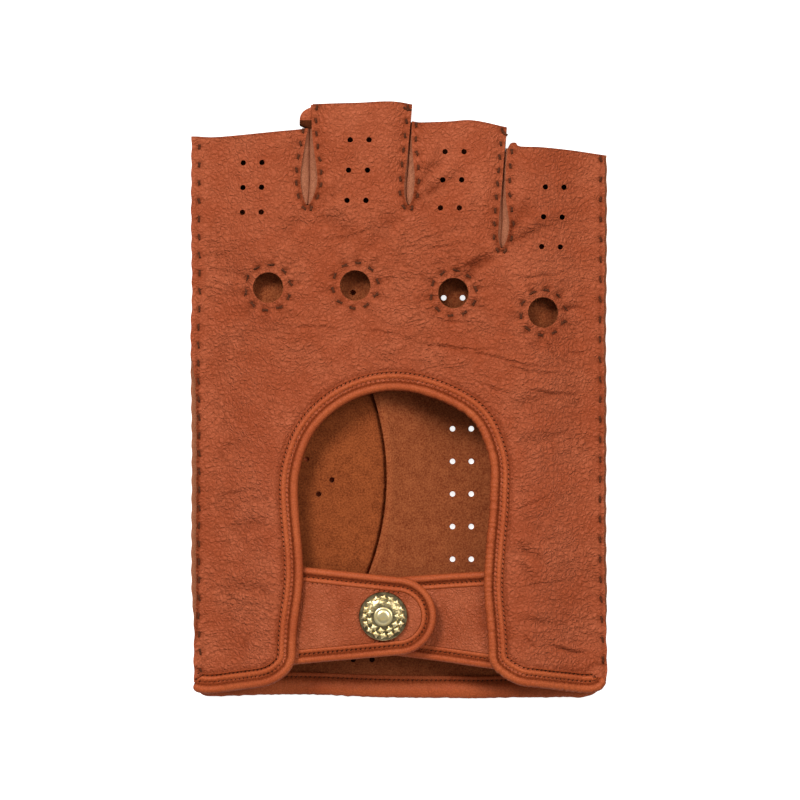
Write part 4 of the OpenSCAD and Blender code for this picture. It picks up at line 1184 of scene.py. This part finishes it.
# Wrist strap and tab
# Two leather plies with a rolled edge and two rows of machine stitches, round at the end. The strap comes
# from the thumb side over the tab, and both are sewn under the back by a short tail.
strap_y = -55.0
strap_root_half, strap_end_half = 12.7, 10.0
tuck = 2.3
tail_near, tail_far, tail_half = -0.3, -11.3, 11.6
ply_t = 2.0
ply_step = 0.7
edge_r, edge_in, edge_up = 1.05, 1.1, 1.15
root_z = 11.2
# Where each starts and ends, its height at the snap, and over what length it rises to that
straps = {"strap": (-25.64, 9.0, 12.7, 15.94), "tab": (22.44, -11.5, 8.1, 12.44)}
strap_lean = {"strap": 0.2, "tab": -1.0}
snap_x = -4.5
strap_degrees = np.linspace(320, 48, 14)
strap_band = [(1.0, 0.56, 0), (1.2, 0.36, 1), (1.42, 0.3, 0.5), (1.68, 0.5, 1), (1.95, 0.84, 0),
              (2.2, 0.94, 0), (2.5, 0.84, 0), (2.72, 0.52, 0), (2.9, 0.4, 0), (3.1, 0.66, 0.5),
              (3.3, 0.3, 0), (1.6, -0.1, 0), (0.8, -0.5, 0)]
smooth_nappa = grain_leather("smooth_nappa_leather", "#BA603C", "#A24A26", "#5E2209", 0.9, 0.18, 0.46)


def strap_edge(body, inset, spacing):
    """Edge of the strap or the tab from one corner of its root, round its end, to the other corner."""
    root_x, tip_x, _, _ = straps[body]
    way = math.copysign(1, tip_x - root_x)
    length = abs(tip_x - root_x)
    r = strap_end_half - inset
    turn = np.linspace(-np.pi / 2, np.pi / 2, 50)
    end = [length - strap_end_half, 0] + r * circle(turn)
    root = strap_root_half - inset
    local = np.vstack([[(-tuck, -root)], end, [(-tuck, root)]])
    lean = strap_lean[body] * (1 - ease(local[:, 0] / length))
    line = np.column_stack([root_x + way * local[:, 0], strap_y + way * local[:, 1] + lean])
    return evenly(line, spacing)


def strap_height(body, x):
    """Underside of the strap or the tab."""
    root_x, _, snap_z, run = straps[body]
    along = (np.asarray(x) - root_x) * math.copysign(1, straps[body][1] - root_x)
    return root_z + (snap_z - root_z) * ease(along / run)


for body, (root_x, tip_x, _, _) in straps.items():
    way = math.copysign(1, tip_x - root_x)
    pieces = {}
    edge = strap_edge(body, edge_in, edge_step)
    inward = left_side(edge)
    path = np.column_stack([edge, strap_height(body, edge[:, 0]) + edge_up])
    wrinkle = [0.02 * noise.noise((k * edge_step / 0.8, 0.6, 3)) for k in range(len(edge))]
    points, faces = swept(path, inward, lambda k: rolled_section(
        strap_degrees, edge_r, strap_band, k * edge_step, wrinkle[k]))
    pieces["binding"] = mesh_object(body + "_binding", points, outward(points, faces), [edge_nappa])
    # Painted shade round the roll: its sides darker than its top
    roll_shade = np.interp(strap_degrees, [48, 68, 90, 130, 175], [0.75, 0.25, 0, 0.1, 0.4])
    paint_shade(pieces["binding"], np.concatenate([roll_shade, band_shade]))
    for part, inset, higher, skin in (("leather", edge_in + 2.75, 1.1, smooth_nappa),
                                      ("lining", 1.6, 0.0, brown_suede)):
        flat, faces = flat_panel([strap_edge(body, inset, ply_step)], [], ply_step)
        rise = strap_height(body, flat[:, 0]) + higher
        if part == "leather":
            from_snap = np.hypot(flat[:, 0] - snap_x, flat[:, 1] - strap_y)
            dent = 0.2 * bell((from_snap - 6.6) / 1.0) * (body == "strap")
            rise += 0.1 * wavy(*flat.T, 7, 5, 8.1) - 0.05 - dent
        pieces[part] = leather_piece(body + "_" + part, flat, faces, rise + leather_t, rise,
                                     [skin, brown_suede, raw_edge])
    pieces["thread"] = machine_rows(body + "_thread", path, inward, ((1.42, 0.44), (2.9, 0.55)))
    for part, piece in pieces.items():
        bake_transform(piece)
        if part != "thread":
            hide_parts(body + "_" + part)
    tail = np.array([(tail_near, -tail_half), (tail_near, tail_half), (tail_far, tail_half),
                     (tail_far, -tail_half)])
    ring = np.column_stack([root_x + way * tail[:, 0], strap_y + way * tail[:, 1]])
    ring = ring_of(zip(ring, np.roll(ring, -1, axis=0)), 1.0)
    flat, faces = flat_panel([ring], [], 1.2)
    rise = np.minimum(root_z, back_under(*flat.T) - 2.4)
    tail_piece = leather_piece(body + "_tail", flat, faces, rise + ply_t, rise,
                               [tan_nappa, brown_suede, raw_edge])
    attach(tail_piece, "hand")
    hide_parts(body + "_tail")

# Snap
# A sprung press fastener of stamped brass with an antique finish. The cap is riveted through the strap to its
# socket, which holds a split spring ring, and the stud is riveted through the tab.
cap_r = 6.25
cap_seat = 14.75
cap_h = 2.5
# Gilt flecks on the cap, set out like stitches: radius and number of each ring
fleck_rings = ((3.55, 11), (4.8, 16))
fleck_gauge = (2.15, 0.8, 36, 0, 35)


def metal(name, light, dark, roughness, patch_mm):
    """Brass or steel whose finish is worn lighter in patches."""
    material, tree = new_tree(name)
    place = add(tree, "ShaderNodeTexCoord").outputs["Object"]
    wear = mottle(tree, place, patch_mm, 5)["Fac"]
    tone = ramp(tree, wear, [(0.35, linear(dark)), (0.7, linear(light))])
    rough = mapped(tree, wear, 0, 1, (roughness + 0.08, roughness - 0.05), "LINEAR")
    return shaded(material, {"Base Color": tone, "Metallic": 1.0, "Roughness": rough})


def cap_height(r):
    """Top of the cap: a low dome with a round shoulder."""
    return cap_seat + 0.55 + (cap_h - 0.75) * (1 - (r / cap_r) ** 3.4)


def lathe(radii, heights, steps):
    """A solid turned round the snap's axis; both ends of the profile lie on the axis."""
    turn = np.arange(steps) * 2 * np.pi / steps
    points = [(snap_x, strap_y, heights[0])]
    for r, z in zip(radii[1:-1], heights[1:-1]):
        points += [(snap_x + r * c, strap_y + r * s, z) for c, s in zip(np.cos(turn), np.sin(turn))]
    points.append((snap_x, strap_y, heights[-1]))
    last = len(points) - 1 - steps
    faces = []
    for s in range(steps):
        t = (s + 1) % steps
        faces.append((0, 1 + t, 1 + s))
        for a in range(1, last, steps):
            faces.append((a + s, a + t, a + steps + t, a + steps + s))
        faces.append((last + s, last + t, len(points) - 1))
    points = np.array(points)
    return points, outward(points, faces)


dark_brass = metal("antique_brass", "#C2B084", "#6E6246", 0.24, 1.5)
gold_brass = metal("polished_brass", "#FFF2C4", "#F6DC98", 0.3, 1.0)
spring_steel = metal("spring_steel", "#C9C9C6", "#9A9A98", 0.3, 2.0)
radii = np.concatenate([[0, 5.4, 6.0, cap_r, cap_r], np.linspace(cap_r - 0.05, 0.4, 26), [0]])
heights = np.concatenate([[cap_seat] * 3, [cap_seat + 0.15, cap_seat + 0.45], cap_height(radii[5:])])
points, faces = lathe(radii, heights, 64)
snap_cap = mesh_object("snap_cap", points, faces, [dark_brass])
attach(snap_cap, "strap")
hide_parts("snap_cap")
boss_r = np.array([0, 2.35, 2.4, 2.25, 1.95, 1.7, 1.5, 1.25, 0.9, 0.45, 0])
boss_z = cap_height(boss_r) + [-0.3, -0.3, 0.02, 0.12, 0.14, 0.06, 0.1, 0.2, 0.26, 0.29, 0.3]
boss_z[-5:] = np.minimum(boss_z[-5:], cap_seat + cap_h)
points, faces = lathe(boss_r, boss_z, 40)
cap_boss = mesh_object("snap_cap_boss", points, faces, [gold_brass])
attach(cap_boss, "strap")
flecks = []
for ring_r, count in fleck_rings:
    turn = np.arange(count) * 2 * np.pi / count
    ring = [snap_x, strap_y] + ring_r * circle(turn)
    flecks.append(np.column_stack([ring, np.full(count, cap_height(ring_r) + 0.02)]))
cap_flecks = sewn("snap_cap_flecks", flecks, fleck_gauge, gold_brass)
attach(cap_flecks, "strap")
plain_brass = metal("plain_brass", "#BCA874", "#A08C5A", 0.3, 2.5)
for name, finish in [("snap_socket", plain_brass), ("snap_spring", spring_steel),
                     ("snap_stud", plain_brass), ("snap_stud_rivet", plain_brass)]:
    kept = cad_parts[name]
    kept.data.materials.clear()
    kept.data.materials.append(finish)

# Stage
# A pale table under the glove, two large soft lamps, a white surround and a camera that looks straight down,
# as the photo does.
photo_mm_per_px = 0.255
lens_mm, sensor_mm = 250, 36
photo_px = 800
view_width = photo_px * photo_mm_per_px * MM
look_x, look_y, look_z = -0.25 * MM, -0.13 * MM, 7 * MM
camera_data = bpy.data.cameras.new("camera")
camera_data.lens = lens_mm
camera_data.sensor_width = sensor_mm
camera = bpy.data.objects.new("camera", camera_data)
camera.location = (look_x, look_y, look_z + view_width * lens_mm / sensor_mm)
bpy.context.scene.collection.objects.link(camera)
bpy.context.scene.camera = camera

table_glow, surround_glow = 0.86, 0.31
floor_half, floor_drop = 1500, 0.2
floor_material, tree = new_tree("pale_table")
ray = add(tree, "ShaderNodeLightPath").outputs
seen = calc(tree, "MAXIMUM", ray["Is Camera Ray"], ray["Is Glossy Ray"])
seen = calc(tree, "MAXIMUM", seen, ray["Is Transmission Ray"])
glow = calc(tree, "MULTIPLY", seen, table_glow)
white = add(tree, "ShaderNodeEmission", {"Color": (1, 1, 1, 1), "Strength": glow})
paper = add(tree, "ShaderNodeBsdfDiffuse", {"Color": linear("#E4E2DF")})
both = add(tree, "ShaderNodeAddShader", {0: white.outputs[0], 1: paper.outputs[0]})
add(tree, "ShaderNodeOutputMaterial", {"Surface": both.outputs[0]})
corners = np.array([(-1, -1, 0), (1, -1, 0), (1, 1, 0), (-1, 1, 0)]) * floor_half - [0, 0, floor_drop]
floor = mesh_object("table", corners, [(0, 1, 2, 3)], [floor_material])

world = bpy.data.worlds.new("studio")
bpy.context.scene.world = world
world.use_nodes = True
background = world.node_tree.nodes["Background"].inputs
background["Color"].default_value = (1, 1, 1, 1)
background["Strength"].default_value = surround_glow
for name, place, size, watts in [("soft_lamp_left", (-0.6, 0.85, 1.35), 0.5, 19.6),
                                 ("soft_lamp_right", (0.85, 0.5, 1.35), 0.8, 9.4)]:
    lamp_data = bpy.data.lights.new(name, "AREA")
    lamp_data.size = size
    lamp_data.energy = watts
    lamp = bpy.data.objects.new(name, lamp_data)
    lamp.location = place
    lamp.rotation_euler = (-Vector(place)).to_track_quat("-Z", "Y").to_euler()
    bpy.context.scene.collection.objects.link(lamp)
bpy.context.scene.view_settings.view_transform = "Standard"
